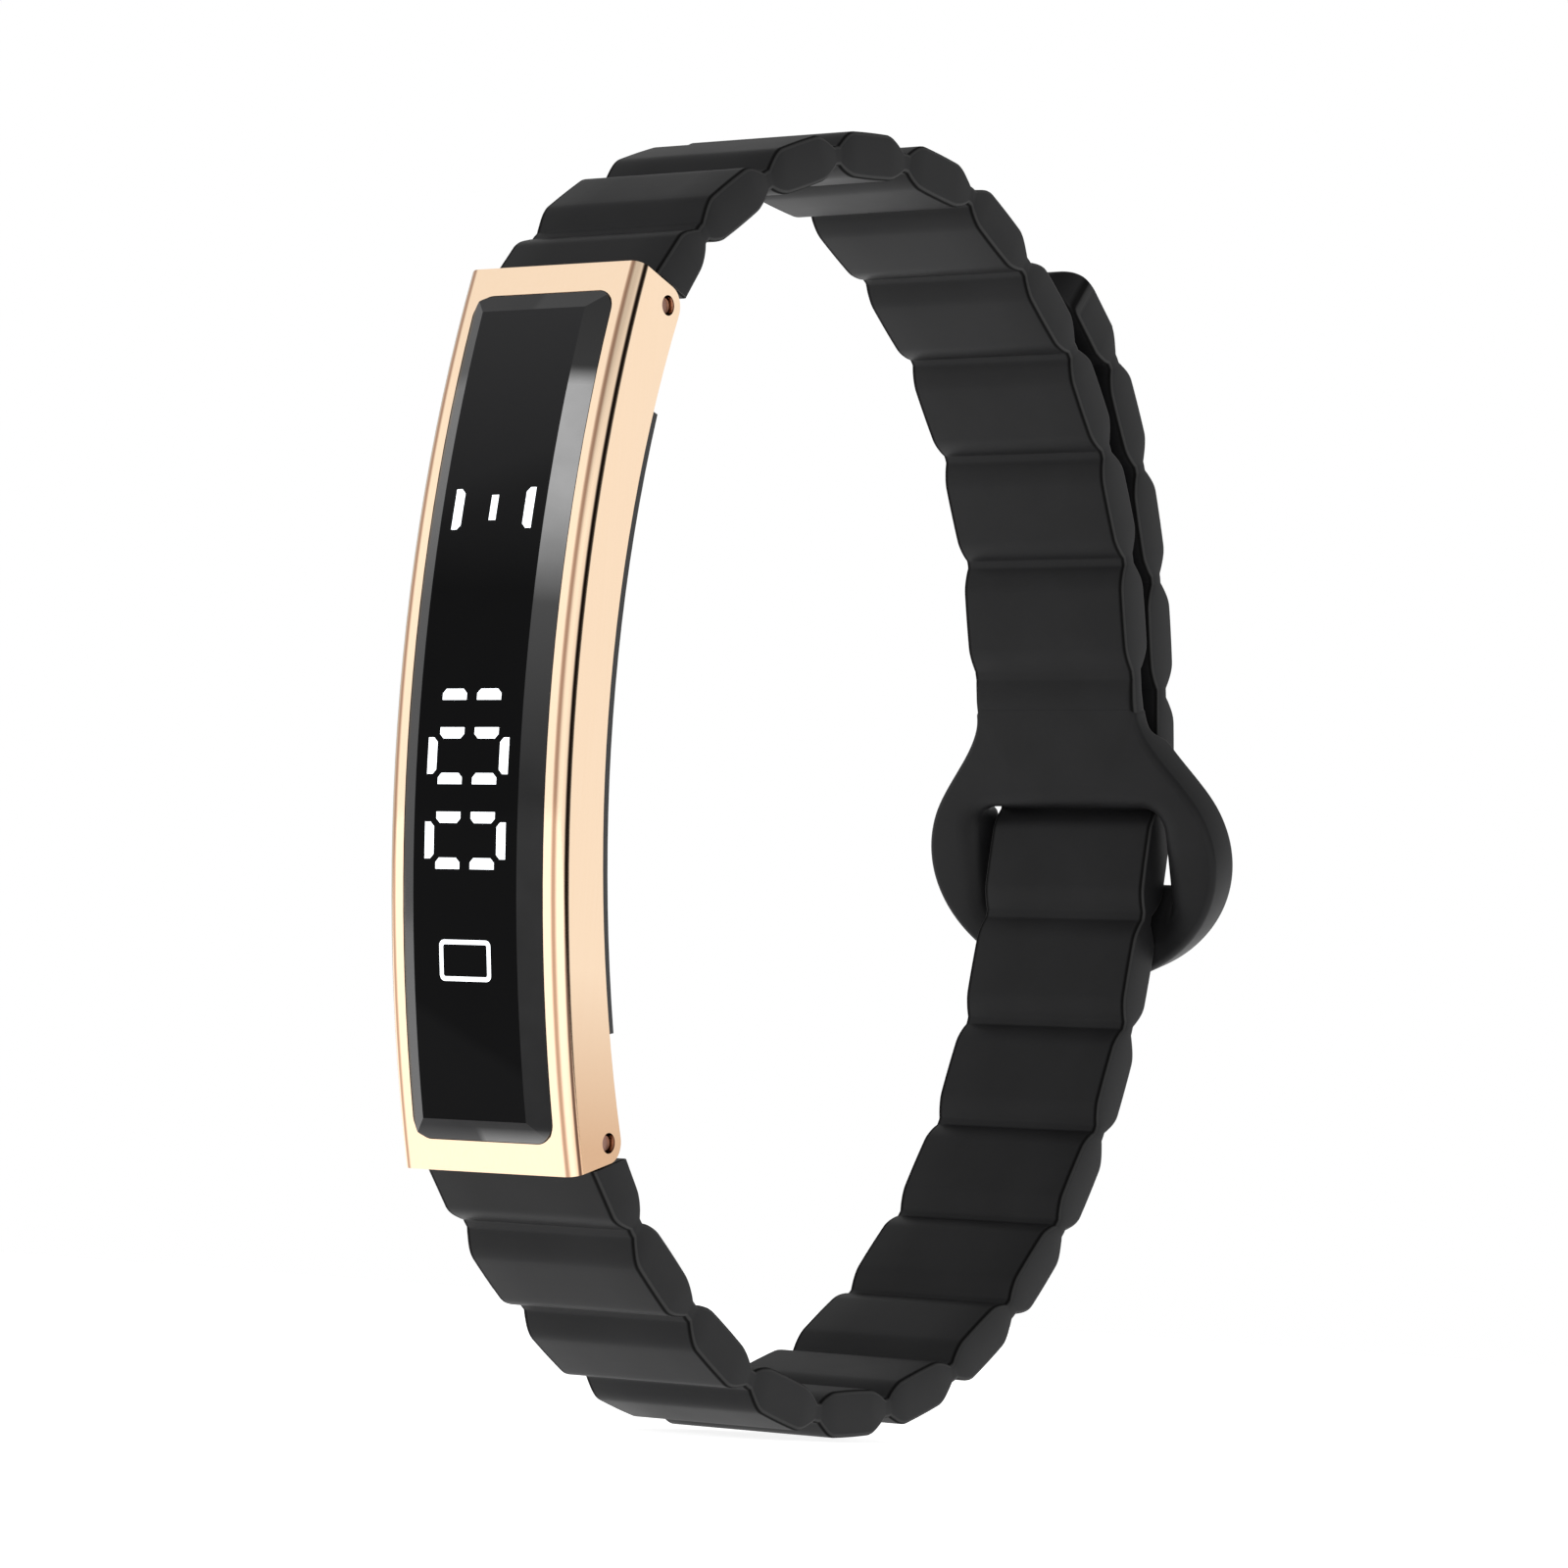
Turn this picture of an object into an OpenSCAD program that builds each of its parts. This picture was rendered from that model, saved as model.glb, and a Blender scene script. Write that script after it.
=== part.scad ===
// Slim fitness tracker band: a curved metal-framed tracker worn on a segmented silicone strap.
// The strap's upper half ends in a flat ring. The lower half passes through the ring from the
// wrist side and lies back along the outside of the upper half, held by magnets in its links.
// Frame: origin at the centre of the wrist, +Z up along the tracker, -Y out of the display.

/* [Tracker case] */
// Width of the metal frame
case_w = 11.2; // [10:0.1:14]
// Length of the metal frame, end face to end face
case_l = 46.8; // [42:0.1:56.2]
// Depth of the metal frame at its middle
case_depth = 3.45; // [3.2:0.05:5]
// Distance from the wrist centre to the frame's front face
case_reach = 28.9; // [27:0.1:33]
// Radius of the curved front face
front_r = 80.4; // [70:0.1:110]
// Radius of the frame's curved rear edge
rear_r = 64; // [56:0.5:80]
// Radius of the polished shoulder along each side
shoulder_r = 0.7; // [0.4:0.05:0.9]
// Thickness of the frame's side walls
wall_t = 0.55; // [0.45:0.05:0.8]
// Thickness of the frame's front lip
lip_t = 0.6; // [0.4:0.05:0.8]
// Length of the electronics bay
bay_l = 34.4; // [32:0.1:36]

/* [Display] */
// Width of the window in the front face
window_w = 8.96; // [8:0.02:10]
// Length of the window in the front face
window_l = 43.7; // [40:0.1:48]
// Corner radius of the window
window_corner = 1.1; // [0.6:0.05:1.6]
// Gap between the glass and the window
glass_gap = 0.04; // [0.02:0.01:0.08]
// Width of the bevel round the glass
bevel_w = 1.14; // [0.7:0.02:1.5]
// Height of the glass above the frame's front face
bevel_h = 0.65; // [0.4:0.05:1]
// Thickness of the clear adhesive sheet under the glass
adhesive_t = 0.1; // [0.05:0.01:0.2]
// Thickness of the light mask
mask_t = 0.5; // [0.3:0.05:0.7]
// Thickness of the light board
board_t = 0.4; // [0.3:0.05:0.6]
// Width of the lit strokes
stroke = 0.56; // [0.4:0.02:0.7]
// Width of a digit
digit_w = 5.14; // [4.4:0.02:5.6]
// Height of a digit
digit_h = 2.86; // [2.4:0.02:3.4]
// Distance from one digit to the next
digit_pitch = 4.25; // [3.8:0.05:4.8]

/* [Back cover] */
// Height of the back cover above the frame's rear edge
cover_rise = 0.95; // [0.6:0.05:1.4]
// Radius of the back cover's curved face
cover_r = 65.9; // [58:0.5:80]
// Wall of the back cover
cover_t = 0.5; // [0.4:0.05:0.8]
// Length of the sensor window
sensor_l = 6; // [5:0.1:7]
// Width of the sensor window
sensor_w = 5.2; // [5:0.1:6.4]
// Height of the sensor window above the cover
sensor_rise = 0.3; // [0.1:0.05:0.6]
// Radius of each charging contact
contact_r = 0.7; // [0.5:0.05:0.9]
// Distance between the charging contacts
contact_pitch = 5.2; // [4:0.1:6]

/* [Strap] */
// Width of the strap
strap_w = 11; // [9.5:0.1:14]
// Length of one link, web to web
link_pitch = 6.7; // [6.2:0.02:8.06]
// Distance from the spring bar to the first web
end_pitch = 5.2; // [4.2:0.05:6]
// Thickness of the web between two links
web_t = 1.1; // [0.9:0.05:1.3]
// Height of a link's outer face above its middle line
crown_out = 1.45; // [1.2:0.05:1.7]
// Height of a link's wrist face above its middle line
crown_in = 1.1; // [0.9:0.05:1.3]
// Length of the groove's slope at each end of a link
groove_l = 1.45; // [1:0.05:2]
// Gap between the layers of the strap where it doubles
layer_gap = 0.15; // [0.1:0.05:0.5]
// Gap in the joint between two strap sections
knuckle_gap = 0.05; // [0.03:0.01:0.08]
// Length of each magnet along the strap
magnet_l = 3.6; // [2.4:0.1:4]
// Thickness of each magnet
magnet_t = 1.2; // [0.8:0.1:1.4]
// Silicone left beside each magnet at the strap's edges
magnet_edge = 1; // [0.6:0.1:1.6]
// Length of the free tip beyond the last web
tip_l = 6.6; // [4:0.1:8]

/* [Ring end] */
// Width of the slot on each side of the strap
slot_side = 1.1; // [0.9:0.05:2]
// Height of the ring's thick rim above its neck
rim_lift = 1.1; // [0.4:0.05:1.6]

// Room between the tail's edge and the ring's thick rim
tail_room = 0.5; // [0.3:0.05:1.2]

// Play along the slot for the link that passes through it
slot_play = 0.8; // [0.6:0.05:1.4]
// Corner radius of the slot
slot_corner = 1.6; // [1.2:0.1:1.8]
// Distance from the last web to the slot
neck_l = 7.9; // [7:0.1:10]
// Width of the ring's side bars
ring_side = 3.25; // [2.5:0.05:4.5]
// Width of the ring's lower bar
ring_foot = 3.2; // [2.4:0.1:4]
// Thickness of the ring on the wrist side of its middle line
plate_in = 0.9; // [0.7:0.05:1]
// Thickness of the ring on the outer side of its middle line
plate_out = 0.6; // [0.5:0.05:0.8]

/* [Spring bars] */
// Radius of the hole for the tip of a spring bar
bar_hole_r = 0.53; // [0.5:0.01:0.6]
// Radius of a spring bar's tip
bar_tip_r = 0.46; // [0.42:0.01:0.48]
// Wall of a spring bar's tube
bar_wall = 0.13; // [0.1:0.01:0.16]
// Running gap between moving round parts
run_gap = 0.04; // [0.02:0.01:0.06]
// Radius of the frame's corner round each spring bar
lug_r = 1.05; // [1:0.05:1.3]
// Width of the strap's tongue between the frame's cheeks
tongue_w = 8; // [6:0.1:8.4]
// Gap between the strap's end and the frame's end face
end_gap = 0.15; // [0.1:0.01:0.3]
// Travel of a spring bar's tip
tip_travel = 1.3; // [1.2:0.1:1.5]

/* [Hidden] */
$fn = 48;

rose_gold = [0.93, 0.72, 0.58];
silicone = [0.09, 0.09, 0.09];
board_green = [0.05, 0.3, 0.16];
big = 30;
eps = 0.01;

// Case: arcs in the Y-Z plane, seen from +X
front_axis = front_r - case_reach;
rear_axis = rear_r - case_reach + case_depth;
cover_axis = cover_r - case_reach + case_depth + cover_rise;
end_angle = asin(case_l / 2 / front_r);
bay_w = case_w - 2 * wall_t;
glass_r = front_r - lip_t;
mask_r = glass_r - adhesive_t;
board_r = mask_r - mask_t;
stack_r = board_r - board_t - 0.1;

// Electronics bay: places along the case, from its lower end to its upper end
bay_gap = 0.3;
bay_end = bay_l / 2 - bay_gap;
battery_l = 12.4;
battery_t = 1.45;
main_board_t = 0.6;
chip_r = stack_r - main_board_t;
sensor_board_r = stack_r - 1.1;
sensor_board_t = 0.4;
seal_t = 0.25;
seal_h = 0.7;
flange_w = case_w - wall_t - 0.25;
contact_z = 7.5;

// Spring bars: each is lug_r from the end face and from the rear edge
end_dir = [-cos(end_angle), sin(end_angle)];
end_side = [sin(end_angle), cos(end_angle)];
bar_foot = [front_axis, 0] - lug_r * end_side;
to_rear = bar_foot - [rear_axis, 0];
rear_b = to_rear * end_dir;
rear_c = to_rear * to_rear - pow(rear_r + lug_r, 2);
bar_at = bar_foot + (-rear_b + sqrt(rear_b * rear_b - rear_c)) * end_dir;
tube_bore = bar_tip_r + run_gap;
tube_r = tube_bore + bar_wall;
tongue_r = lug_r - 0.03;
neck_h = 0.9;
notch_gap = 0.14;
notch_w = tongue_w + 0.4;
tip_end = case_w / 2 - 0.25;
tip_start = notch_w / 2 - tip_travel - 0.7;
coil_turns = 7;
coil_wire = 0.09;

// Angle of each link, first link first. The lower half is drawn as if it were an upper half.
upper_plan = [55.5, 35.5, 22.5, 8, -4.5, -25, -35, -50, -61.5, -75.5];
lower_plan = [53, 38, 30.5, 14.5, -3, -18, -33, -45.5, -57.5, -68.5, -78.5];
ring_heading = -72;
// How far each of the outer tail links leans out from the upper link beside it
tail_lean = [2, 6, 7, 3];

slot_h = link_pitch + slot_play;

// Where the lower half crosses the ring, along (s) and across (v) the ring's middle plane
layer_pitch = crown_out + crown_in + layer_gap;
cross_top = [neck_l + 0.3, plate_out + web_t / 2 + layer_gap];
cross_low_v = -(plate_in + web_t / 2 + layer_gap);
cross_low_s = cross_top[0] + sqrt(pow(link_pitch, 2) - pow(cross_top[1] - cross_low_v, 2));
cross_low = [cross_low_s, cross_low_v];
neck_lean = asin((layer_pitch - cross_top[1] - link_pitch / 2 * sin(tail_lean[0])) / link_pitch);
slot_w = strap_w + 2 * slot_side;
ring_w = slot_w + 2 * ring_side;
ring_l = neck_l + slot_h + ring_foot;

function dir(a) = [cos(a), sin(a)];
function side(a) = [-sin(a), cos(a)];
function flipped(p) = [p[0], -p[1]];
function last_of(list) = list[len(list) - 1];
// The spring bar, and then the far end of each link in a plan
function webs(plan) =
    [for (i = 0, p = bar_at; i <= len(plan);
          p = p + (i == 0 ? end_pitch : link_pitch) * dir(plan[min(i, len(plan) - 1)]), i = i + 1) p];
// A plan turned by some degrees at the case, and less and less towards the ring
function opened(plan, turn) =
    [for (i = [0:len(plan) - 1]) plan[i] + turn * (1 - i / (len(plan) - 1))];
function plan_end(plan, turn) = last_of(webs(opened(plan, turn)));
function on_ring(base, at) = base + at[0] * dir(ring_heading) + at[1] * side(ring_heading);
// The two halves meet in the slot where this miss is nothing. Newton's steps find the two turns.
function miss(t) =
    on_ring(plan_end(upper_plan, t[0]), cross_low) - flipped(plan_end(lower_plan, t[1]));
function closed(t, steps, h = 0.01) =
    steps == 0 ? t :
    let (m = miss(t), a = (miss(t + [h, 0]) - m) / h, b = (miss(t + [0, h]) - m) / h)
    closed(t - [m[0] * b[1] - m[1] * b[0], a[0] * m[1] - a[1] * m[0]] / (a[0] * b[1] - a[1] * b[0]),
           steps - 1);

turns = closed([0, 0], 6);
upper_angles = concat(opened(upper_plan, turns[0]), ring_heading);
ring_link = len(upper_plan);
upper_webs = webs(opened(upper_plan, turns[0]));
crossing = flipped(on_ring([0, 0], cross_top) - on_ring([0, 0], cross_low));
tail_angles = [for (i = [0:len(tail_lean) - 1]) tail_lean[i] - 180 - upper_angles[ring_link - 1 - i]];
slot_link = len(lower_plan);
neck_link = slot_link + 1;
lower_angles = concat(opened(lower_plan, turns[1]), atan2(crossing[1], crossing[0]),
                      neck_lean - 180 - ring_heading, tail_angles);
lower_webs = webs(lower_angles);

// A shape drawn in the Y-Z plane and made w wide across the strap
module across(w) {
    rotate([90, 0, 90]) linear_extrude(w, center = true) children();
}

// A shape drawn in the X-Z plane and run through the display side of the case
module through_front() {
    rotate([90, 0, 0]) linear_extrude(case_reach + 3) children();
}

module both_ends() {
    children();
    mirror([0, 0, 1]) children();
}

// A round bar across the strap, from x0 to x1
module cross_bar(at, r, x0, x1) {
    translate([x0, at[0], at[1]]) rotate([0, 90, 0]) cylinder(r = r, h = x1 - x0);
}

// Turns a profile of (radius, x) about the case's front axis, between two places along the case
module bent(z0, z1) {
    a0 = asin(z0 / front_r);
    a1 = asin(z1 / front_r);
    translate([0, front_axis, 0]) rotate([90, 0, 90])
        rotate([0, 0, 180 - a1]) rotate_extrude(angle = a1 - a0, $fn = 180) children();
}

// A curved block: outer radius, thickness, width, two places along the case and a shift across it
module bent_block(r, t, w, z0, z1, x = 0) {
    bent(z0, z1) translate([r - t, x - w / 2]) square([t, w]);
}

// A round stud that points at the case's front axis
module radial_stud(z, x, r_low, r_high, r) {
    translate([x, front_axis, 0]) rotate([90 - asin(z / front_r), 0, 0])
        translate([0, 0, r_low]) cylinder(r = r, h = r_high - r_low);
}

// The slice of the Y-Z plane that lies between two places along the case
module slice(z) {
    far = 1.2 * front_r;
    a = asin(z / front_r);
    polygon([[front_axis, 0], [front_axis, 0] - far * dir(a), [front_axis, 0] - far * dir(-a)]);
}

// A disc about the rear edge's axis, and one about the back cover's
module rear_disc(extra) {
    translate([rear_axis, 0]) circle(r = rear_r + extra, $fn = 180);
}

module cover_disc(extra) {
    translate([cover_axis, 0]) circle(r = cover_r + extra, $fn = 180);
}

// Places a drawing at the upper spring bar: x points to the wrist, y along the case to its end
module at_bar() {
    translate(bar_at) rotate(-end_angle) children();
}

module case_side() {
    difference() {
        slice(case_l / 2);
        rear_disc(0);
        for (s = [0, 1]) mirror([0, s]) at_bar() difference() {
            square([big, 3 * lug_r]);
            circle(r = lug_r);
        }
    }
}

// Space in the frame's upper end for the strap's tongue
module notch_side() {
    at_bar() {
        circle(r = tongue_r + notch_gap);
        translate([-neck_h - notch_gap, 0]) square([big, big]);
        translate([0, -tongue_r - notch_gap]) square([big, big]);
    }
}

// The frame across its width, as (radius, x)
module frame_section() {
    low = front_r - 2 * case_depth - 2;
    w = case_w / 2;
    translate([low, -w]) square([front_r - shoulder_r - low, case_w]);
    translate([low, -w + shoulder_r]) square([front_r - low, case_w - 2 * shoulder_r]);
    for (s = [-1, 1]) translate([front_r - shoulder_r, s * (w - shoulder_r)]) circle(r = shoulder_r);
}

// The window's rounded outline, grown by extra
module window_plan(extra) {
    w = window_w / 2 + extra;
    l = window_l / 2 + extra;
    r = window_corner + extra;
    square([2 * (w - r), 2 * l], center = true);
    square([2 * w, 2 * (l - r)], center = true);
    for (x = [-1, 1], z = [-1, 1]) translate([x * (w - r), z * (l - r)]) circle(r = r);
}

module case_frame() {
    color(rose_gold) difference() {
        intersection() {
            bent(-case_l / 2 - 1, case_l / 2 + 1) frame_section();
            across(2 * case_w) case_side();
        }
        bent_block(glass_r, 3 * case_depth, bay_w, -bay_l / 2, bay_l / 2);
        intersection() {
            through_front() window_plan(0);
            bent_block(front_r + 1, lip_t + 1, case_w, -case_l / 2, case_l / 2);
        }
        both_ends() {
            across(notch_w) notch_side();
            cross_bar(bar_at, bar_hole_r, -case_w, case_w);
        }
    }
}

// Glass with a flat bevel all round its raised middle
module cover_glass() {
    w = window_w / 2 - glass_gap;
    over = lip_t / 2;
    low = front_r - over * bevel_h / bevel_w;
    top = front_r + bevel_h;
    plateau_end = asin((window_l / 2 - bevel_w) / front_r);
    color([0.03, 0.03, 0.03]) intersection() {
        through_front() window_plan(-glass_gap);
        bent(-case_l / 2, case_l / 2) polygon([
            [glass_r, -w - over], [low, -w - over], [top, -w + bevel_w],
            [top, w - bevel_w], [low, w + over], [glass_r, w + over]]);
        across(case_w) translate([front_axis, 0]) difference() {
            circle(r = top + 1, $fn = 180);
            for (s = [0, 1]) mirror([0, s])
                rotate(-plateau_end) translate([-top, 0])
                    rotate(-atan2(bevel_h, bevel_w)) translate([-big, 0]) square([big, big]);
        }
    }
}

// A thin clear sheet as large as the glass, inside the bay
module glass_adhesive() {
    color([0.8, 0.85, 0.88]) bent_block(glass_r, adhesive_t, bay_w - 0.2, -bay_end, bay_end);
}

// One lit stroke with its two inner corners cut off
module stroke_mark(l, h) {
    c = 0.4 * h;
    polygon([[-l / 2, h], [l / 2, h], [l / 2, c], [l / 2 - c, 0], [-l / 2 + c, 0], [-l / 2, c]]);
}

// The two short strokes along a digit's top or bottom
module dashes() {
    dash_l = 0.296 * digit_w;
    for (s = [-1, 1]) translate([s * (dash_l / 2 + 0.34), 0]) stroke_mark(dash_l, stroke);
}

module digit_foot() {
    mirror([0, 1]) translate([0, digit_h / 2 - stroke]) dashes();
}

module digit_zero() {
    translate([0, digit_h / 2 - stroke]) dashes();
    digit_foot();
    for (a = [-90, 90]) rotate(a) translate([0, digit_w / 2 - stroke])
        stroke_mark(digit_h - 2 * stroke + 0.1, stroke);
}

// Everything that lights up: a signal mark, three digit places and a notice outline
module lit_plan() {
    for (a = [-90, 90]) translate([0, 10.1]) rotate(a) translate([0, 0.44 * digit_w - stroke / 2])
        stroke_mark(2.1, stroke);
    translate([0, 10.15]) square([stroke - 0.14, 1.3], center = true);
    translate([0, -2.52 + digit_pitch]) digit_foot();
    for (i = [0, 1]) translate([0, -2.52 - i * digit_pitch]) digit_zero();
    translate([0, -12.75]) difference() {
        square([3.25, 2.05], center = true);
        square([2.8, 1.6], center = true);
    }
}

module light_mask() {
    color([0.05, 0.05, 0.05]) difference() {
        bent_block(mask_r, mask_t, bay_w - 0.2, -bay_end, bay_end);
        through_front() lit_plan();
    }
}

module display_segments() {
    color("white") intersection() {
        through_front() lit_plan();
        bent_block(mask_r, mask_t, bay_w - 0.2, -bay_end, bay_end);
    }
}

module light_board() {
    color(board_green) bent_block(board_r, board_t, bay_w - 0.4, -bay_end, bay_end - 0.6);
}

// Ribbon that joins the ends of the light board and the main board
module display_flex() {
    color([0.75, 0.45, 0.1]) bent_block(board_r, board_r - chip_r, 4, bay_end - 0.6, bay_end - 0.4);
}

module main_board() {
    color(board_green)
        bent_block(stack_r, main_board_t, bay_w - 0.6, -bay_end + battery_l + 0.4, bay_end - 0.6);
}

module shield_can() {
    color("silver") bent_block(chip_r, 0.9, 7, 5.2, 10.6);
}

module chip_antenna() {
    color("ivory") bent_block(chip_r, 0.7, 3, 14.4, 15.8, -2.9);
}

module motion_sensor() {
    color([0.15, 0.15, 0.16]) bent_block(chip_r, 0.8, 2, 11.6, 13.6, -2.9);
}

module vibration_motor() {
    color("silver") radial_stud(13.6, 1.6, chip_r - 1.15, chip_r - 0.05, 2.2);
}

module battery() {
    color([0.72, 0.73, 0.76]) bent_block(stack_r, battery_t, bay_w - 1.9, -bay_end + 0.9, -bay_end + battery_l);
}

module sensor_board() {
    color(board_green)
        bent_block(sensor_board_r, sensor_board_t, bay_w - 3, -sensor_l / 2 - 0.2, sensor_l / 2 + 0.2);
}

module green_leds() {
    color("limegreen") for (s = [-1, 1])
        bent_block(sensor_board_r - sensor_board_t, 0.4, 1, -0.7, 0.7, s * 1.6);
}

module photodiode() {
    color([0.1, 0.1, 0.14]) bent_block(sensor_board_r - sensor_board_t, 0.35, 1.5, -0.8, 0.8);
}

module sensor_opening(extra) {
    cube([sensor_w + 2 * extra, 4 * case_reach, sensor_l + 2 * extra], center = true);
}

module contact_pair(r_low, r_high) {
    for (s = [-1, 1]) radial_stud(contact_z, s * contact_pitch / 2, r_low, r_high, contact_r);
}

// Shell that closes the bay: a flange behind the frame's edge and a plug inside its walls
module back_cover() {
    plug_w = bay_w - 2 * seal_t;
    color([0.07, 0.07, 0.07]) difference() {
        union() {
            across(flange_w) intersection() {
                slice(bay_end);
                difference() {
                    rear_disc(0);
                    cover_disc(0);
                }
            }
            across(plug_w) intersection() {
                slice(bay_end - seal_t);
                difference() {
                    rear_disc(seal_h);
                    cover_disc(0);
                }
            }
        }
        across(plug_w - 2 * cover_t) intersection() {
            slice(bay_end - seal_t - cover_t);
            difference() {
                rear_disc(big);
                cover_disc(cover_t);
            }
        }
        intersection() {
            sensor_opening(0);
            translate([-case_w, -case_reach - 1, -case_l]) cube([2 * case_w, case_reach, 2 * case_l]);
        }
        contact_pair(front_r - 2 * case_depth, front_r);
    }
}

// Rubber band squeezed between the cover's plug and the frame's walls
module cover_seal() {
    color([0.2, 0.2, 0.22]) intersection() {
        across(bay_w) intersection() {
            slice(bay_end);
            difference() {
                rear_disc(seal_h);
                rear_disc(0);
            }
        }
        difference() {
            across(bay_w) slice(bay_l / 2);
            across(bay_w - 2 * seal_t) slice(bay_end - seal_t);
        }
    }
}

module sensor_window() {
    back = case_reach - case_depth - cover_rise;
    color([0.12, 0.12, 0.14]) translate([-sensor_w / 2, -back - cover_t, -sensor_l / 2])
        cube([sensor_w, cover_t + sensor_rise, sensor_l]);
}

module charging_contacts() {
    skin_r = norm([front_axis - cover_axis + sqrt(pow(cover_r, 2) - pow(contact_z, 2)), contact_z]);
    color("gold") contact_pair(skin_r - 0.12, skin_r + cover_t + 0.45);
}

module bar_tube() {
    color("silver") difference() {
        cross_bar(bar_at, tube_r, -tongue_w / 2, tongue_w / 2);
        cross_bar(bar_at, tube_bore, -tongue_w, tongue_w);
    }
}

module bar_tip() {
    color("silver") {
        cross_bar(bar_at, bar_tip_r, tip_start, tip_end - bar_tip_r / 2);
        translate([tip_end - bar_tip_r / 2, bar_at[0], bar_at[1]]) intersection() {
            rotate([0, 90, 0]) rotate_extrude() intersection() {
                circle(r = bar_tip_r);
                square(bar_tip_r);
            }
            cube([bar_tip_r, big, big], center = true);
        }
    }
}

// Coil spring between the two tips of a spring bar
module bar_spring() {
    steps = 10;
    sides = 6;
    l = 2 * tip_start - 2 * coil_wire;
    r = tube_bore - coil_wire - 0.04;
    n = coil_turns * steps;
    points = [for (i = [0:n], k = [0:sides - 1])
        let (a = 360 * i / steps, b = 360 * k / sides, q = r + coil_wire * cos(b))
        [l * (i / n - 0.5) + coil_wire * sin(b), bar_at[0] + q * cos(a), bar_at[1] + q * sin(a)]];
    faces = concat(
        [[for (k = [0:sides - 1]) k], [for (k = [sides - 1:-1:0]) n * sides + k]],
        [for (i = [0:n - 1], k = [0:sides - 1])
            let (j = (k + 1) % sides)
            [i * sides + k, (i + 1) * sides + k, (i + 1) * sides + j, i * sides + j]]);
    color("silver") polyhedron(points, faces, convexity = 10);
}

// Height of a link's face at a distance from its web
function rise(u, top) = web_t / 2 + (top - web_t / 2) * (1 - cos(180 * min(max(u / groove_l, 0), 1))) / 2;
// Distances along a link at which its outline has a point
function stations(l) =
    concat([for (k = [0:6]) groove_l * k / 6], [l / 2], [for (k = [6:-1:0]) l - groove_l * k / 6]);

// A link's outline: u along the strap, v away from the wrist
module link_side(l, low = crown_in) {
    polygon(concat([for (u = stations(l)) [u, rise(min(u, l - u), crown_out)]],
                   [for (u = stations(l)) [l - u, -rise(min(u, l - u), low)]]));
}

// The end of a half beside the case: a link whose near end is cut square to the case
module end_side_outline() {
    l = end_pitch;
    difference() {
        translate(bar_at) rotate(upper_angles[0]) polygon(concat(
            [[-lug_r, -crown_in], [-lug_r, crown_out + 0.25]],
            [for (k = [6:-1:0]) [l - groove_l * k / 6, rise(groove_l * k / 6, crown_out)]],
            [for (k = [0:6]) [l - groove_l * k / 6, -rise(groove_l * k / 6, crown_in)]]));
        at_bar() translate([-big, -big]) square([2 * big, big + lug_r + end_gap]);
    }
}

module on_link(angles, points, i) {
    translate(points[i]) rotate(angles[i]) children();
}

// The part of a half from one link to another, with a round nose at the end of each link
module run_body(angles, points, first, last) {
    for (i = [max(first, 1):last]) {
        across(strap_w) on_link(angles, points, i)
            link_side(link_pitch, i == neck_link ? web_t / 2 : crown_in);
        cross_bar(points[i + 1], web_t / 2 - 0.02, -strap_w / 2, strap_w / 2);
    }
}

// Magnet outlines of a run of links, shrunk by gap
module magnets_side(angles, points, first, last) {
    for (i = [max(first, 1):last]) on_link(angles, points, i)
        translate([link_pitch / 2, i == neck_link ? (crown_out - web_t / 2) / 2 : (crown_out - crown_in) / 2])
            square([magnet_l, i == neck_link ? magnet_t - 0.4 : magnet_t], center = true);
}

module strap_run(angles, points, first, last) {
    color(silicone) difference() {
        run_body(angles, points, first, last);
        cross_bar(points[first], web_t / 2 + knuckle_gap, -case_w, case_w);
        across(strap_w - 2 * magnet_edge) magnets_side(angles, points, first, last);
    }
}

module magnet_run(angles, points, first, last) {
    color([0.6, 0.6, 0.62]) across(strap_w - 2 * magnet_edge) magnets_side(angles, points, first, last);
}

// First part of a half: the tongue round the spring bar, the end piece and the first link
module strap_end(angles, points) {
    color(silicone) difference() {
        union() {
            across(strap_w) end_side_outline();
            cross_bar(points[1], web_t / 2 - 0.02, -strap_w / 2, strap_w / 2);
            run_body(angles, points, 0, 1);
            across(tongue_w) at_bar() {
                circle(r = tongue_r);
                translate([-neck_h, 0]) square([2 * neck_h, lug_r + end_gap + 0.3]);
            }
        }
        cross_bar(bar_at, tube_r + run_gap, -case_w, case_w);
        across(strap_w - 2 * magnet_edge) magnets_side(angles, points, 0, 1);
    }
}

// Half width of the ring's outline at a distance from the last web
bulb_b = (ring_l - neck_l + 3.2) / 2 + 0.65;
bulb_c = ring_l - bulb_b;
neck_start = 1.7;
neck_end = bulb_c - 0.38 * bulb_b;
function bulb(s) = ring_w / 2 * sqrt(max(0, 1 - pow((s - bulb_c) / bulb_b, 2)));
function bulb_slope(s) = -ring_w / 2 * (s - bulb_c) / pow(bulb_b, 2) / sqrt(1 - pow((s - bulb_c) / bulb_b, 2));
function flare(t) =
    strap_w / 2 + (3 * t * t - 2 * t * t * t) * (bulb(neck_end) - strap_w / 2)
    + (t * t * t - t * t) * (neck_end - neck_start) * bulb_slope(neck_end);

module ring_plan() {
    flank = concat([[strap_w / 2, groove_l / 2]],
                   [for (k = [0:9]) [flare(k / 10), neck_start + (neck_end - neck_start) * k / 10]],
                   [for (a = [-22.5:7.5:90]) [ring_w / 2 * cos(a), bulb_c + bulb_b * sin(a)]]);
    difference() {
        for (s = [0, 1]) mirror([s, 0]) polygon(concat([[0, groove_l / 2]], flank));
        slot_plan(0);
    }
}

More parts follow.
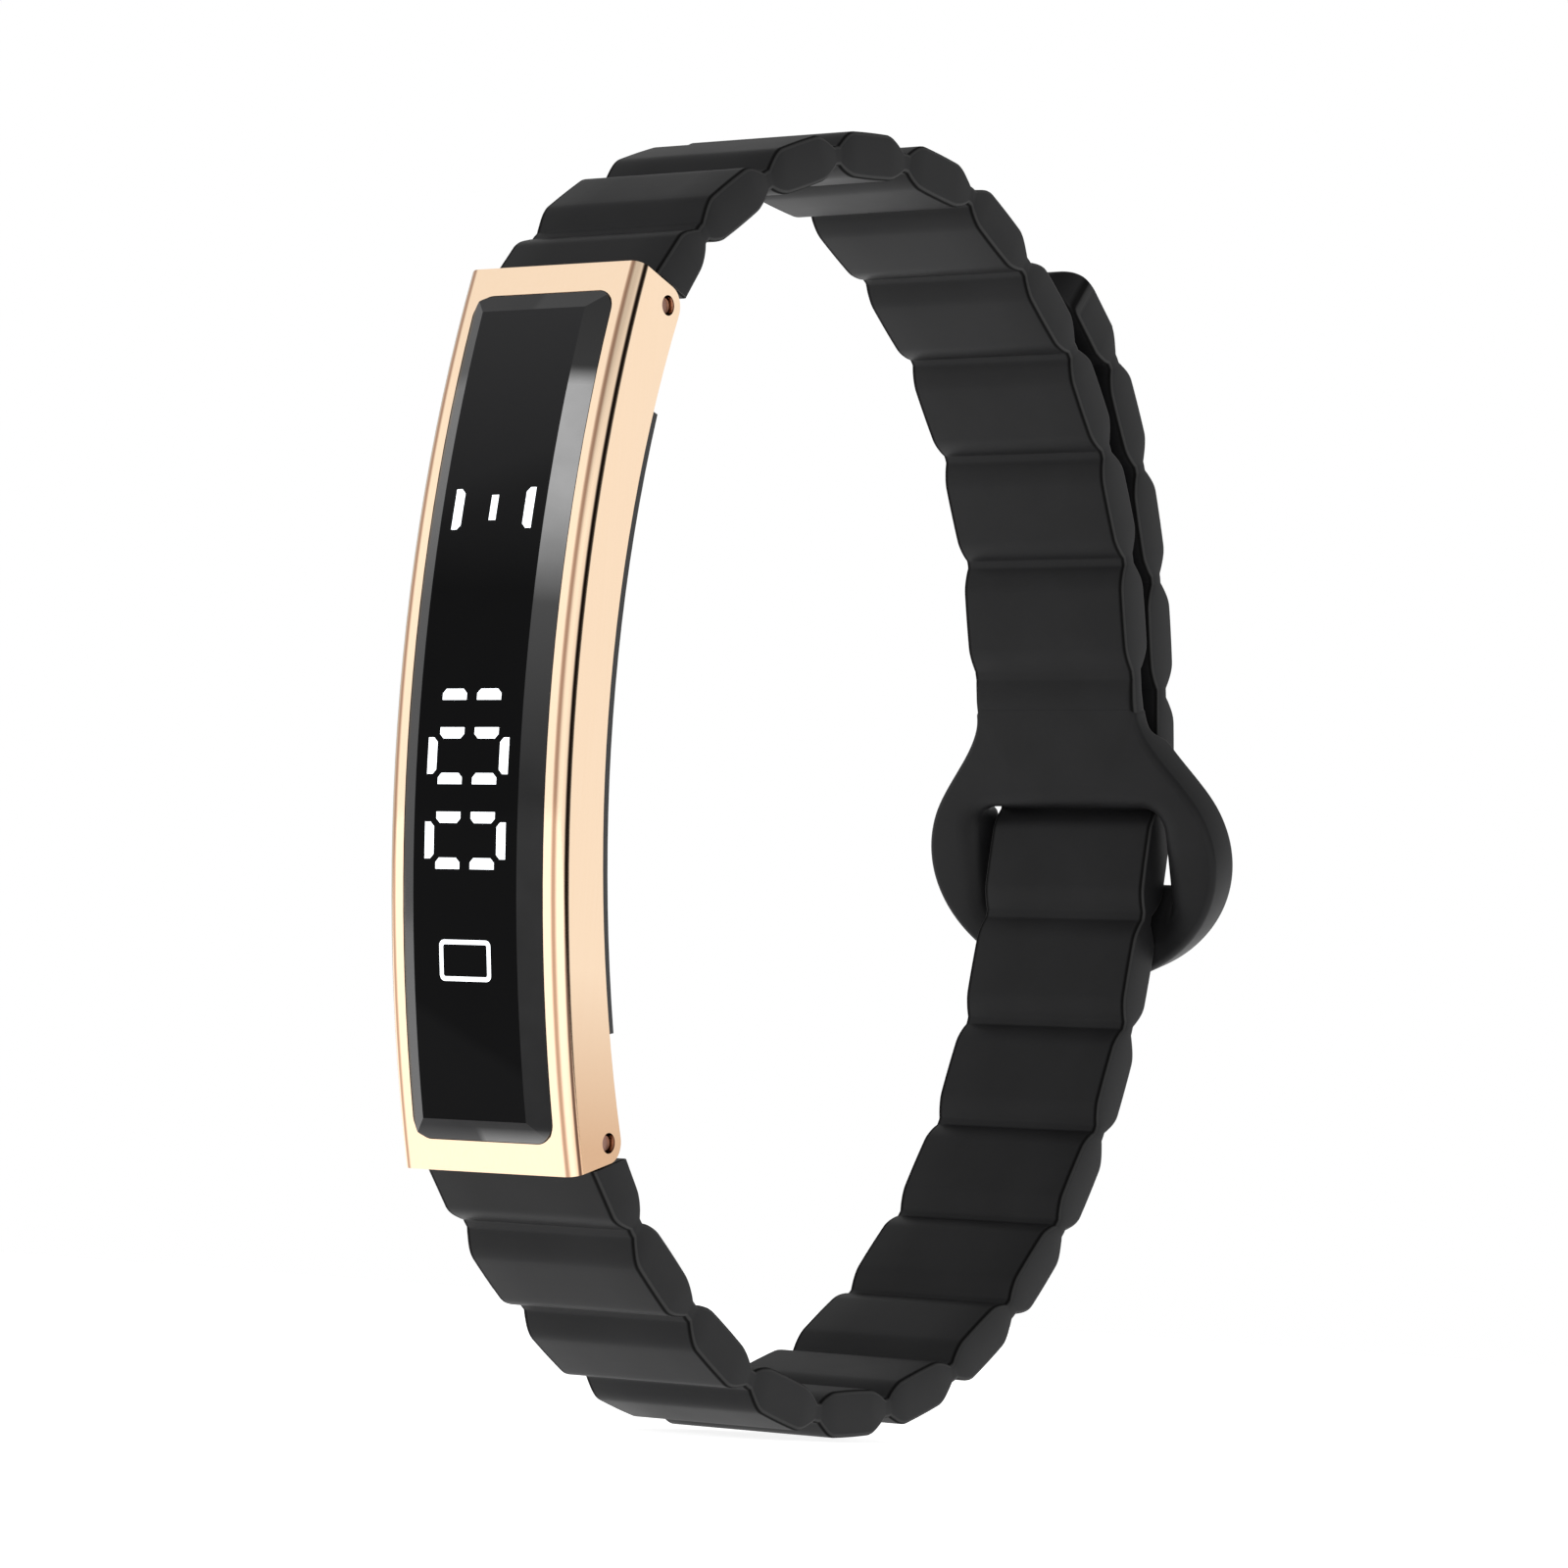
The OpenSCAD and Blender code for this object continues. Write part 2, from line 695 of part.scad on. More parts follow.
module slot_plan(extra) {
    r = slot_corner + extra;
    w = slot_w / 2 + extra;
    h = slot_h / 2 + extra;
    translate([0, neck_l + slot_h / 2]) {
        square([2 * w, 2 * (h - r) + eps], center = true);
        square([2 * (w - r), 2 * h], center = true);
        for (x = [-1, 1], y = [-1, 1]) translate([x * (w - r), y * (h - r)]) circle(r = r);
    }
}

// The part of the ring that is thick: its sides and its foot, clear of the tail
module rim_plan() {
    difference() {
        ring_plan();
        translate([-strap_w / 2 - tail_room, -eps]) square([strap_w + 2 * tail_room, neck_l + slot_h / 2]);
    }
}

// Ring at the end of the upper half, thin where the tail lies over it
module strap_ring() {
    at = last_of(upper_webs);
    rim = 0.45;
    color(silicone) difference() {
        union() {
            translate([0, at[0], at[1]]) rotate([ring_heading, 0, 0]) difference() {
                union() {
                    translate([0, 0, -plate_in]) linear_extrude(plate_in + plate_out) ring_plan();
                    translate([0, 0, plate_out - eps]) linear_extrude(rim_lift + eps) rim_plan();
                }
                translate([0, 0, -plate_in - rim]) linear_extrude(2 * rim) slot_plan(0.5);
            }
            across(strap_w) translate(at) rotate(ring_heading) polygon(concat(
                [for (k = [0:6]) [groove_l * k / 6, rise(groove_l * k / 6, plate_out)]],
                [for (k = [6:-1:0]) [groove_l * k / 6, -rise(groove_l * k / 6, plate_in)]]));
        }
        cross_bar(at, web_t / 2 + knuckle_gap, -case_w, case_w);
    }
}

// Free end of the strap, rounded over at its end
module tip_side() {
    r = crown_out;
    polygon(concat(
        [for (k = [0:6]) [groove_l * k / 6, rise(groove_l * k / 6, crown_out)]],
        [for (a = [80:-20:0]) [tip_l - r + r * cos(a), crown_out * sin(a)]],
        [for (a = [-20:-20:-80]) [tip_l - r + r * cos(a), crown_in * sin(a)]],
        [for (k = [6:-1:0]) [groove_l * k / 6, -rise(groove_l * k / 6, crown_in)]]));
}

module tip_magnet_side() {
    translate([tip_l / 2, (crown_out - crown_in) / 2]) square([min(magnet_l, tip_l - 2.8), magnet_t], center = true);
}

module tail_tip() {
    i = len(lower_angles) - 1;
    color(silicone) difference() {
        across(strap_w) on_link(lower_angles, lower_webs, i) tip_side();
        cross_bar(lower_webs[i], web_t / 2 + knuckle_gap, -case_w, case_w);
        across(strap_w - 2 * magnet_edge) on_link(lower_angles, lower_webs, i) tip_magnet_side();
    }
}

module tip_magnet() {
    color([0.6, 0.6, 0.62]) across(strap_w - 2 * magnet_edge)
        on_link(lower_angles, lower_webs, len(lower_angles) - 1) tip_magnet_side();
}

module lower_half() {
    mirror([0, 0, 1]) children();
}

// Section k of a half: two links each, but the sixth of the lower half has three
module upper_section(k) {
    if (k == 1) strap_end(upper_angles, upper_webs);
    else strap_run(upper_angles, upper_webs, 2 * k - 2, 2 * k - 1);
}

module upper_section_magnets(k) {
    magnet_run(upper_angles, upper_webs, 2 * k - 2, 2 * k - 1);
}

module lower_section(k) {
    lower_half() if (k == 1) strap_end(lower_angles, lower_webs);
    else strap_run(lower_angles, lower_webs, 2 * k - 2, k == 6 ? neck_link : 2 * k - 1);
}

module lower_section_magnets(k) {
    lower_half() magnet_run(lower_angles, lower_webs, 2 * k - 2, k == 6 ? neck_link : 2 * k - 1);
}

module tail_link(k) {
    lower_half() strap_run(lower_angles, lower_webs, neck_link + k, neck_link + k);
}

module tail_magnet(k) {
    lower_half() magnet_run(lower_angles, lower_webs, neck_link + k, neck_link + k);
}

case_frame();
cover_glass();
glass_adhesive();
light_mask();
display_segments();
light_board();
display_flex();
main_board();
shield_can();
chip_antenna();
motion_sensor();
vibration_motor();
battery();
sensor_board();
green_leds();
photodiode();
back_cover();
cover_seal();
sensor_window();
charging_contacts();
bar_tube();  // upper_bar_tube
bar_spring();  // upper_bar_spring
bar_tip();  // upper_bar_tip_right
mirror([1, 0, 0]) bar_tip();  // upper_bar_tip_left
lower_half() bar_tube();  // lower_bar_tube
lower_half() bar_spring();  // lower_bar_spring
lower_half() bar_tip();  // lower_bar_tip_right
lower_half() mirror([1, 0, 0]) bar_tip();  // lower_bar_tip_left
for (k = [1:5]) {
    upper_section(k);
    upper_section_magnets(k);
}
strap_ring();
for (k = [1:6]) {
    lower_section(k);
    lower_section_magnets(k);
}
for (k = [1:3]) {
    tail_link(k);
    tail_magnet(k);
}
lower_half() tail_tip();
lower_half() tip_magnet();
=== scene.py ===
import math

import bpy
import numpy as np
from bpy.props import FloatProperty, FloatVectorProperty, PointerProperty
from mathutils import Matrix, Vector


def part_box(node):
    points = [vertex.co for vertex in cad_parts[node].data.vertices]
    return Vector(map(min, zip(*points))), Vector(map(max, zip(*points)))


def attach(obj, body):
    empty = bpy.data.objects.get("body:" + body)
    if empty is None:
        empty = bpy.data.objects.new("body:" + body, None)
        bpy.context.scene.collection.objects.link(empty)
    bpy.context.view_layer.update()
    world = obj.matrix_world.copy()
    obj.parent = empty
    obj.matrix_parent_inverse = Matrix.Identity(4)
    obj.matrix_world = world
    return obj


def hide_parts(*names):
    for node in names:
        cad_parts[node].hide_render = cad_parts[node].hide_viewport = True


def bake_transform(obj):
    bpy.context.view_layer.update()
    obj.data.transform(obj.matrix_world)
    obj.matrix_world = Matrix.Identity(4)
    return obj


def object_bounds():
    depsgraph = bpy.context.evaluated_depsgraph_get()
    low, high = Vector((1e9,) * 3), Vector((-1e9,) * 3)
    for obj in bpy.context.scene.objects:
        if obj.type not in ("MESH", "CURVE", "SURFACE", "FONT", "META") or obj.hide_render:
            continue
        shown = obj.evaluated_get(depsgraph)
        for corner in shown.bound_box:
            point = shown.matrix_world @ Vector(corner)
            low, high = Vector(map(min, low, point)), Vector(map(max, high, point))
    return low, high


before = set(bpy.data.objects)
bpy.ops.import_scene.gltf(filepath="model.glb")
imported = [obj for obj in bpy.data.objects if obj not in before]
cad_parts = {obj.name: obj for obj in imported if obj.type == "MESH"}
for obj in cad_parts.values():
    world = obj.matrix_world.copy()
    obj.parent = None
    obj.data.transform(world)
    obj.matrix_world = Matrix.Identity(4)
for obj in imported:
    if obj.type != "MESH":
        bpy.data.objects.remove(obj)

bl_info = {
    "name": "Fitness Tracker Band",
    "version": (1, 0, 0),
    "blender": (4, 5, 0),
    "location": "3D View > Sidebar > Tracker",
    "description": "Builds a slim tracker in a polished frame on a segmented silicone band",
    "category": "Add Mesh",
}

MM = 0.001
CAD_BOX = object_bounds()


# ---------------------------------------------------------------- settings


def length(name, description, default, low=0.0):
    """A size in millimetres that a user may change."""
    return FloatProperty(name=name, description=description, default=default, min=low)


def colour(name, description, default):
    return FloatVectorProperty(
        name=name, description=description, default=default, size=4, subtype="COLOR", min=0, max=1
    )


class CaseSettings(bpy.types.PropertyGroup):
    """Sizes of the tracker case, in millimetres."""

    width: length("Width", "Width of the metal frame", 11.2)
    reach: length("Reach", "Distance from the wrist centre to the front face", 28.9)
    length: length("Length", "Length from end face to end face", 46.8)
    front_radius: length("Front radius", "Radius of the curved front face", 80.4)
    window_width: length("Window width", "Width of the window", 8.96)
    window_length: length("Window length", "Length of the window", 43.7)
    window_corner: length("Window corner", "Corner radius of the window", 1.1)
    bevel_width: length("Bevel width", "Width of the glass bevel", 1.14)
    bevel_height: length("Bevel height", "Height of the glass above the frame", 0.65)
    lip: length("Lip", "Depth of the window's edge", 0.6)
    lug: length("Lug", "Radius of the frame round each spring bar", 1.05)


class DisplaySettings(bpy.types.PropertyGroup):
    """Sizes of the lit strokes, in millimetres."""

    stroke: length("Stroke", "Width of the lit strokes", 0.56)
    digit_width: length("Digit width", "Width of a digit", 5.14)
    digit_height: length("Digit height", "Height of a digit", 2.86)
    digit_pitch: length("Digit pitch", "Distance from one digit to the next", 4.25)


class StrapSettings(bpy.types.PropertyGroup):
    """Sizes of the silicone strap, in millimetres."""

    width: length("Width", "Width of the strap", 11.0)
    pitch: length("Pitch", "Length of one link", 6.7)
    end_pitch: length("End pitch", "Distance from the spring bar to the first web", 5.2)
    web: length("Web", "Thickness of the web between two links", 1.1)
    crown_out: length("Outer crown", "Height of a link's outer face", 1.45)
    crown_in: length("Inner crown", "Height of a link's wrist face", 1.1)
    groove: length("Groove", "Length of the groove's slope", 1.75)
    edge: length("Edge", "Radius of the strap's edges", 0.26)
    tip: length("Tip", "Length of the free tip", 6.6)
    gap: length("Layer gap", "Gap between the layers of the doubled strap", 0.15)


class RingSettings(bpy.types.PropertyGroup):
    """Sizes of the flat ring, in millimetres."""

    slot_side: length("Slot side", "Width of the slot on each side of the strap", 1.1)
    slot_play: length("Slot play", "Play along the slot", 0.8)
    slot_corner: length("Slot corner", "Corner radius of the slot", 1.6)
    neck: length("Neck", "Distance from the last web to the slot", 7.9)
    side: length("Side", "Width of the ring's side bars", 3.25)
    foot: length("Foot", "Width of the ring's lower bar", 3.2)
    plate_in: length("Wrist side", "Thickness on the wrist side", 0.9)
    plate_out: length("Outer side", "Thickness on the outer side", 0.6)
    rim_lift: length("Rim lift", "Height of the thick rim above the neck", 1.1)
    tail_room: length("Tail room", "Room between the tail and the thick rim", 0.5)
    edge: length("Edge", "Radius of the ring's outer edge", 0.42)
    slot_edge: length("Slot edge", "Radius of the slot's edge", 1.3)


class FinishSettings(bpy.types.PropertyGroup):
    """Colours of the visible pieces."""

    metal: colour("Metal", "Polished rose gold", (1.0, 0.77, 0.56, 1))
    silicone: colour("Silicone", "Matt black silicone", (0.0085, 0.0085, 0.009, 1))
    glass: colour("Glass", "Black display glass", (0.0016, 0.0016, 0.0018, 1))
    lit: colour("Lit marks", "Light of the display", (0.95, 0.98, 1.0, 1))


SETTINGS = {
    "tracker_case": CaseSettings,
    "tracker_display": DisplaySettings,
    "tracker_strap": StrapSettings,
    "tracker_ring": RingSettings,
    "tracker_finish": FinishSettings,
}


def case():
    return bpy.context.scene.tracker_case


def display():
    return bpy.context.scene.tracker_display


def strap():
    return bpy.context.scene.tracker_strap


def ring():
    return bpy.context.scene.tracker_ring


def finish():
    return bpy.context.scene.tracker_finish


# ---------------------------------------------------------------- shader expressions


class Value:
    """One socket of a node tree. Arithmetic on it adds Math nodes."""

    def __init__(self, tree, socket):
        self.tree, self.socket = tree, socket

    def _math(self, operation, *inputs):
        return self.tree.node("ShaderNodeMath", {"operation": operation}, inputs)

    def __add__(self, other):
        return self._math("ADD", self, other)

    def __sub__(self, other):
        return self._math("SUBTRACT", self, other)

    def __mul__(self, other):
        return self._math("MULTIPLY", self, other)

    def __truediv__(self, other):
        return self._math("DIVIDE", self, other)

    def __radd__(self, other):
        return self._math("ADD", other, self)

    def __rsub__(self, other):
        return self._math("SUBTRACT", other, self)

    def __rmul__(self, other):
        return self._math("MULTIPLY", other, self)

    def __rtruediv__(self, other):
        return self._math("DIVIDE", other, self)

    def __abs__(self):
        return self._math("ABSOLUTE", self)

    def clamp(self, low, high):
        """0 up to low, 1 from high on, and a straight rise between them."""
        return self.tree.node(
            "ShaderNodeMapRange", {"clamp": True}, {"Value": self, "From Min": low, "From Max": high}
        )

    def band(self, start, full, fall, end):
        """Rises from 0 to 1 between start and full, and falls back to 0 between fall and end."""
        return self.clamp(start, full) * (1.0 - self.clamp(fall, end))


class Tree:
    """A node tree being written."""

    def __init__(self, owner):
        owner.use_nodes = True
        self.tree = owner.node_tree
        self.tree.nodes.clear()

    def node(self, kind, settings=None, inputs=(), output=0):
        """Adds a node, with its settings first, and returns one of its outputs."""
        made = self.tree.nodes.new(kind)
        for key, value in (settings or {}).items():
            if key == "stops":
                self.fill_ramp(made.color_ramp, value)
            else:
                setattr(made, key, value)
        pairs = inputs.items() if isinstance(inputs, dict) else enumerate(inputs)
        for key, value in pairs:
            if isinstance(value, Value):
                self.tree.links.new(value.socket, made.inputs[key])
            elif value is not None:
                made.inputs[key].default_value = value
        return Value(self, made.outputs[output]) if len(made.outputs) else None

    def fill_ramp(self, ramp, stops):
        while len(ramp.elements) > 1:
            ramp.elements.remove(ramp.elements[-1])
        for i, (place, shade) in enumerate(stops):
            element = ramp.elements[0] if i == 0 else ramp.elements.new(place)
            element.position = place
            element.color = shade if hasattr(shade, "__len__") else (shade, shade, shade, 1)

    def axes(self, vector):
        made = self.node("ShaderNodeSeparateXYZ", {}, [vector])
        outputs = made.socket.node.outputs
        return [Value(self, outputs[i]) for i in range(3)]

    def mix(self, factor, a, b):
        return self.node("ShaderNodeMix", {"data_type": "RGBA"}, {0: factor, 6: a, 7: b}, output=2)


class Finish(Tree):
    """A material under a Principled shader."""

    def __init__(self, name):
        self.material = bpy.data.materials.new(name)
        super().__init__(self.material)

    def place(self):
        """The point on the surface in the object's own frame, in metres."""
        return self.node("ShaderNodeTexCoord", {}, output=3)

    def noise(self, scale, detail=2.0, roughness=0.5):
        return self.node(
            "ShaderNodeTexNoise",
            {},
            {"Vector": self.place(), "Scale": scale, "Detail": detail, "Roughness": roughness},
        )

    def bump(self, height, strength, distance):
        return self.node(
            "ShaderNodeBump", {}, {"Strength": strength, "Distance": distance, "Height": height}
        )

    def surface(self, **inputs):
        shader = self.node(
            "ShaderNodeBsdfPrincipled", {}, {key.replace("_", " "): value for key, value in inputs.items()}
        )
        self.node("ShaderNodeOutputMaterial", {}, {"Surface": shader})
        return self.material


# Distances in from an edge at which a thin painted line fades in and out, in millimetres: a painted shade
# line and a painted highlight rim on the strap, and two painted dark reflection lines on the case.
STRAP_SHADE_LINE = (0.34, 0.2, 0.12, 0.01)
STRAP_HIGHLIGHT_RIM = (0.12, 0.07, 0.02, 0.002)
SHOULDER_REFLECTION_LINE = (0.68, 0.55, 0.45, 0.32)
SIDE_REFLECTION_LINE = (0.1, 0.05, 0.02, 0.005)


def inside(edge, distances):
    """Places in metres that lie some distances in from an edge, both in millimetres."""
    return [(edge - distance) * MM for distance in distances]


def silicone_finish(edge_at=None):
    """Moulded black silicone: a fine matt skin, with a painted dark shade line and a painted highlight rim
    along the sides.
    """
    f = Finish("silicone")
    grain = f.noise(9000, 3, 0.6)
    cloud = f.noise(260, 3, 0.5)
    dark = finish().silicone
    bloom = tuple(1.35 * c for c in dark[:3]) + (1,)
    tone = f.mix(cloud.clamp(0.35, 0.7), tuple(dark), bloom)
    gloss = 0.44 + 0.1 * cloud
    if edge_at is not None:
        side = abs(f.axes(f.place())[0])
        # painted shade: a dark line just in from each side edge of the strap
        line = side.band(*inside(edge_at, STRAP_SHADE_LINE))
        tone = f.mix(line, tone, (0.001, 0.001, 0.001, 1))
        # painted highlight: a light rim right at each side edge of the strap
        tone = f.mix(side.band(*inside(edge_at, STRAP_HIGHLIGHT_RIM)), tone, (0.03, 0.03, 0.03, 1))
        gloss = gloss + 0.45 * line
    return f.surface(
        Base_Color=tone,
        Roughness=gloss,
        Specular_IOR_Level=0.16,
        Normal=f.bump(grain, 0.12, 0.00002),
    )


def metal_finish():
    """Polished rose gold plating with hairline polishing marks along the case, painted shade on the lower
    right side, and painted dark reflection lines along the shoulder.
    """
    f = Finish("polished_rose_gold")
    x, y, z = f.axes(f.place())
    hairline = f.node(
        "ShaderNodeTexNoise",
        {},
        {
            "Vector": f.node("ShaderNodeCombineXYZ", {}, [x * 60.0, y * 60.0, z]),
            "Scale": 160.0,
            "Detail": 3.0,
        },
    )
    tone = tuple(finish().metal)
    warm = (tone[0] * 0.985, tone[1] * 0.965, tone[2] * 0.94, 1)
    deep = (tone[0] * 0.7, tone[1] * 0.56, tone[2] * 0.46, 1)
    half = case().width / 2
    # the lower part of the right side lies in shade
    low_side = x.clamp(*inside(half, (0.2, 0.0))) * (1.0 - z.clamp(-22 * MM, -13 * MM))
    tone = f.mix(low_side * 0.9, f.mix(hairline, tone, warm), deep)
    # the roll of the shoulder, between two painted dark reflection lines: a brown one on the front and a dark
    # one at the side's edge
    side = abs(x)
    inner = side.band(*inside(half, SHOULDER_REFLECTION_LINE))
    outer = side.band(*inside(half, SIDE_REFLECTION_LINE))
    front = 1.0 - y.clamp(-0.5 * MM, 0.5 * MM)
    tone = f.mix(inner * 0.75 * front, tone, (0.3, 0.12, 0.06, 1))
    tone = f.mix(outer * 0.9, tone, (0.06, 0.018, 0.012, 1))
    return f.surface(
        Base_Color=tone,
        Metallic=1.0,
        Roughness=0.06 + 0.06 * hairline,
    )


def plain_finish(name, base, roughness, metallic=0.0, grain_scale=4000):
    """A single-colour finish with a little wear in its tone and gloss."""
    f = Finish(name)
    wear = f.noise(grain_scale / 8, 3)
    grain = f.noise(grain_scale, 2)
    low = tuple(0.9 * c for c in base[:3]) + (1,)
    return f.surface(
        Base_Color=f.mix(wear, tuple(base[:3]) + (1,), low),
        Metallic=metallic,
        Roughness=roughness + 0.08 * wear,
        Normal=f.bump(grain, 0.08, 0.00001),
    )


def glass_finish(name, specular):
    """Black display glass, polished, with a faint haze, and a painted reflection that is lighter towards the
    top and fades down the case.
    """
    f = Finish(name)
    haze = f.noise(120, 2)
    x, _, z = f.axes(f.place())
    light = (0.03, 0.03, 0.031, 1)
    # painted reflection: the glass is mixed towards a lighter tone towards its top
    above = z.clamp(6 * MM, 21 * MM) * 0.75
    # two slanting steps in the painted reflection, one near the top and one near the bottom
    upper_reflection_step = (z - 0.35 * x).clamp(10.5 * MM, 12.5 * MM) * 0.12
    lower_reflection_step = (1.0 - (z + 0.5 * x).clamp(-17.2 * MM, -16.4 * MM)) * 0.08
    painted_reflection = above + upper_reflection_step + lower_reflection_step
    return f.surface(
        Base_Color=f.mix(painted_reflection + 0.06 * haze, tuple(finish().glass), light),
        Roughness=0.05 + 0.04 * haze,
        Specular_IOR_Level=specular,
    )


# Tones of the painted reflection on the bevel's border from the bottom of the glass to its top, and half that
# run in metres.
BEVEL_REFLECTION_TONES = [
    (0.0, 0.28), (0.02, 0.012), (0.4, 0.02), (0.62, 0.07),
    (0.75, 0.5), (0.88, 0.65), (0.9, 0.06), (1.0, 0.05),
]
BEVEL_REACH = 0.022


def bevel_finish():
    """The glass's bevel over its dark metallised border, with a painted reflection that changes up the bevel
    and is darker on its left half.
    """
    f = Finish("glass_bevel")
    haze = f.noise(500, 2)
    x, _, z = f.axes(f.place())
    # painted reflection: tones that change from the bottom of the bevel to its top
    shade = f.node("ShaderNodeValToRGB", {"stops": BEVEL_REFLECTION_TONES}, [(z + BEVEL_REACH) / (2 * BEVEL_REACH)])
    # painted reflection: darker on the left half of the bevel
    left_dark_reflection = 1.0 - x.clamp(-0.2 * MM, 0.2 * MM)
    shade = f.mix(left_dark_reflection * 0.75, shade, (0.015, 0.015, 0.016, 1))
    return f.surface(
        Base_Color=f.mix(haze * 0.3, shade, (0.05, 0.05, 0.052, 1)),
        Metallic=0.92,
        Roughness=0.1 + 0.04 * haze,
    )


def lit_finish():
    """Lit marks: white light, a little softer where the resin is thinner."""
    f = Finish("lit_marks")
    tone = tuple(finish().lit)
    glow = f.noise(700, 1)
    return f.surface(
        Base_Color=tone,
        Roughness=0.5,
        Emission_Color=f.mix(glow, tone, (0.9, 0.94, 1.0, 1)),
        Emission_Strength=1.1,
    )


# ---------------------------------------------------------------- meshes


def add_mesh(name, points, faces, materials, slots=None, sharp=35):
    """A mesh object from points in millimetres."""
    mesh = bpy.data.meshes.new(name)
    mesh.from_pydata([tuple(MM * c for c in p) for p in points], [], faces)
    mesh.validate()
    for material in materials:
        mesh.materials.append(material)
    if slots is not None:
        mesh.polygons.foreach_set("material_index", slots)
    mesh.polygons.foreach_set("use_smooth", [True] * len(mesh.polygons))
    mesh.set_sharp_from_angle(angle=math.radians(sharp))
    piece = bpy.data.objects.new(name, mesh)
    bpy.context.scene.collection.objects.link(piece)
    return piece


def loft(ribs, loop=False):
    """Points and faces of a skin over closed ribs, capped unless it runs on from last to first."""
    count = len(ribs[0])
    points = [p for rib in ribs for p in rib]
    faces = []
    for i in range(len(ribs) if loop else len(ribs) - 1):
        a, b = i * count, (i + 1) % len(ribs) * count
        for j in range(count):
            k = (j + 1) % count
            faces.append((a + j, b + j, b + k, a + k))
    if not loop:
        faces.append(tuple(range(count)))
        faces.append(tuple(range(len(points) - 1, len(points) - 1 - count, -1)))
    return points, faces


def join_parts(*parts):
    """One set of points and faces from several."""
    points, faces = [], []
    for p, f in parts:
        start = len(points)
        points += list(p)
        faces += [tuple(start + i for i in face) for face in f]
    return points, faces


def direction(angle):
    """The unit vector in the Y-Z plane at an angle in degrees from Y."""
    a = math.radians(angle)
    return np.array([math.cos(a), math.sin(a)])


def outward(angle):
    """The unit vector square to a link's direction, away from the wrist."""
    a = math.radians(angle)
    return np.array([-math.sin(a), math.cos(a)])


def smooth_step(t):
    t = min(max(t, 0.0), 1.0)
    return t * t * (3 - 2 * t)


# ---------------------------------------------------------------- strap path


# The angles of each half's links before the loop is closed, from the case on.
UPPER_PLAN = [55.5, 35.5, 22.5, 8, -4.5, -25, -35, -50, -61.5, -75.5]
LOWER_PLAN = [53, 38, 30.5, 14.5, -3, -18, -33, -45.5, -57.5, -68.5, -78.5]
RING_HEADING = -72
# How far each link of the tail leans away from the link it lies on.
TAIL_LEAN = [2, 6, 7, 3]
# The upper half's link that is the ring, and the lower half's thinner link that passes through it.
RING_LINK = len(UPPER_PLAN)
NECK_LINK = len(LOWER_PLAN) + 1


def spring_bar():
    """The upper spring bar's place in the Y-Z plane."""
    low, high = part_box("upper_bar_tube")
    middle = (low + high) / 2 / MM
    return np.array([middle.y, middle.z])


def webs(angles):
    """The spring bar, and then the far end of each link."""
    s = strap()
    points = [spring_bar()]
    for i, a in enumerate(angles):
        points.append(points[-1] + (s.end_pitch if i == 0 else s.pitch) * direction(a))
    return points


def opened(plan, turn):
    """A plan whose first link is turned by an angle, and each later link by less, down to none."""
    return [a + turn * (1 - i / (len(plan) - 1)) for i, a in enumerate(plan)]


def strap_paths():
    """Angles and webs of both halves. The lower half is drawn as if it were an upper half."""
    s, r = strap(), ring()
    along, across = direction(RING_HEADING), outward(RING_HEADING)
    flip = np.array([1, -1])
    top = np.array([r.neck + 0.3, r.plate_out + s.web / 2 + s.gap])
    low_v = -(r.plate_in + s.web / 2 + s.gap)
    low = np.array([top[0] + math.sqrt(s.pitch**2 - (top[1] - low_v) ** 2), low_v])

    def miss(turns):
        upper_end = webs(opened(UPPER_PLAN, turns[0]))[-1]
        lower_end = webs(opened(LOWER_PLAN, turns[1]))[-1]
        return upper_end + low[0] * along + low[1] * across - flip * lower_end

    turns, step = np.zeros(2), 0.01
    for _ in range(6):
        m = miss(turns)
        slope = np.array([(miss(turns + step * unit) - m) / step for unit in np.eye(2)]).T
        turns = turns - np.linalg.solve(slope, m)
    upper = opened(UPPER_PLAN, turns[0]) + [RING_HEADING]
    crossing = flip * ((top[0] - low[0]) * along + (top[1] - low[1]) * across)
    layers = s.crown_out + s.crown_in + s.gap
    climb = layers - top[1] - s.pitch / 2 * math.sin(math.radians(TAIL_LEAN[0]))
    lean = math.degrees(math.asin(climb / s.pitch))
    lower = opened(LOWER_PLAN, turns[1])
    lower += [math.degrees(math.atan2(crossing[1], crossing[0])), lean - 180 - RING_HEADING]
    lower += [TAIL_LEAN[i] - 180 - upper[RING_LINK - 1 - i] for i in range(len(TAIL_LEAN))]
    return {
        "upper": (upper, webs(upper[:-1])),
        "lower": (lower, webs(lower)),
    }


# Half the flat of each web, the reach of its bend on each side, and the swell of a link's faces.
WEB_FLAT = 0.26
BEND = 0.7
CROWN_SWELL = 0.1


def rise(distance, top):
    """Height of a link's face at a distance from its web."""
    s = strap()
    t = min(max((distance - WEB_FLAT) / (s.groove - WEB_FLAT), 0), 1)
    return s.web / 2 + (top - s.web / 2) * math.sin(math.pi / 2 * t) ** 0.9


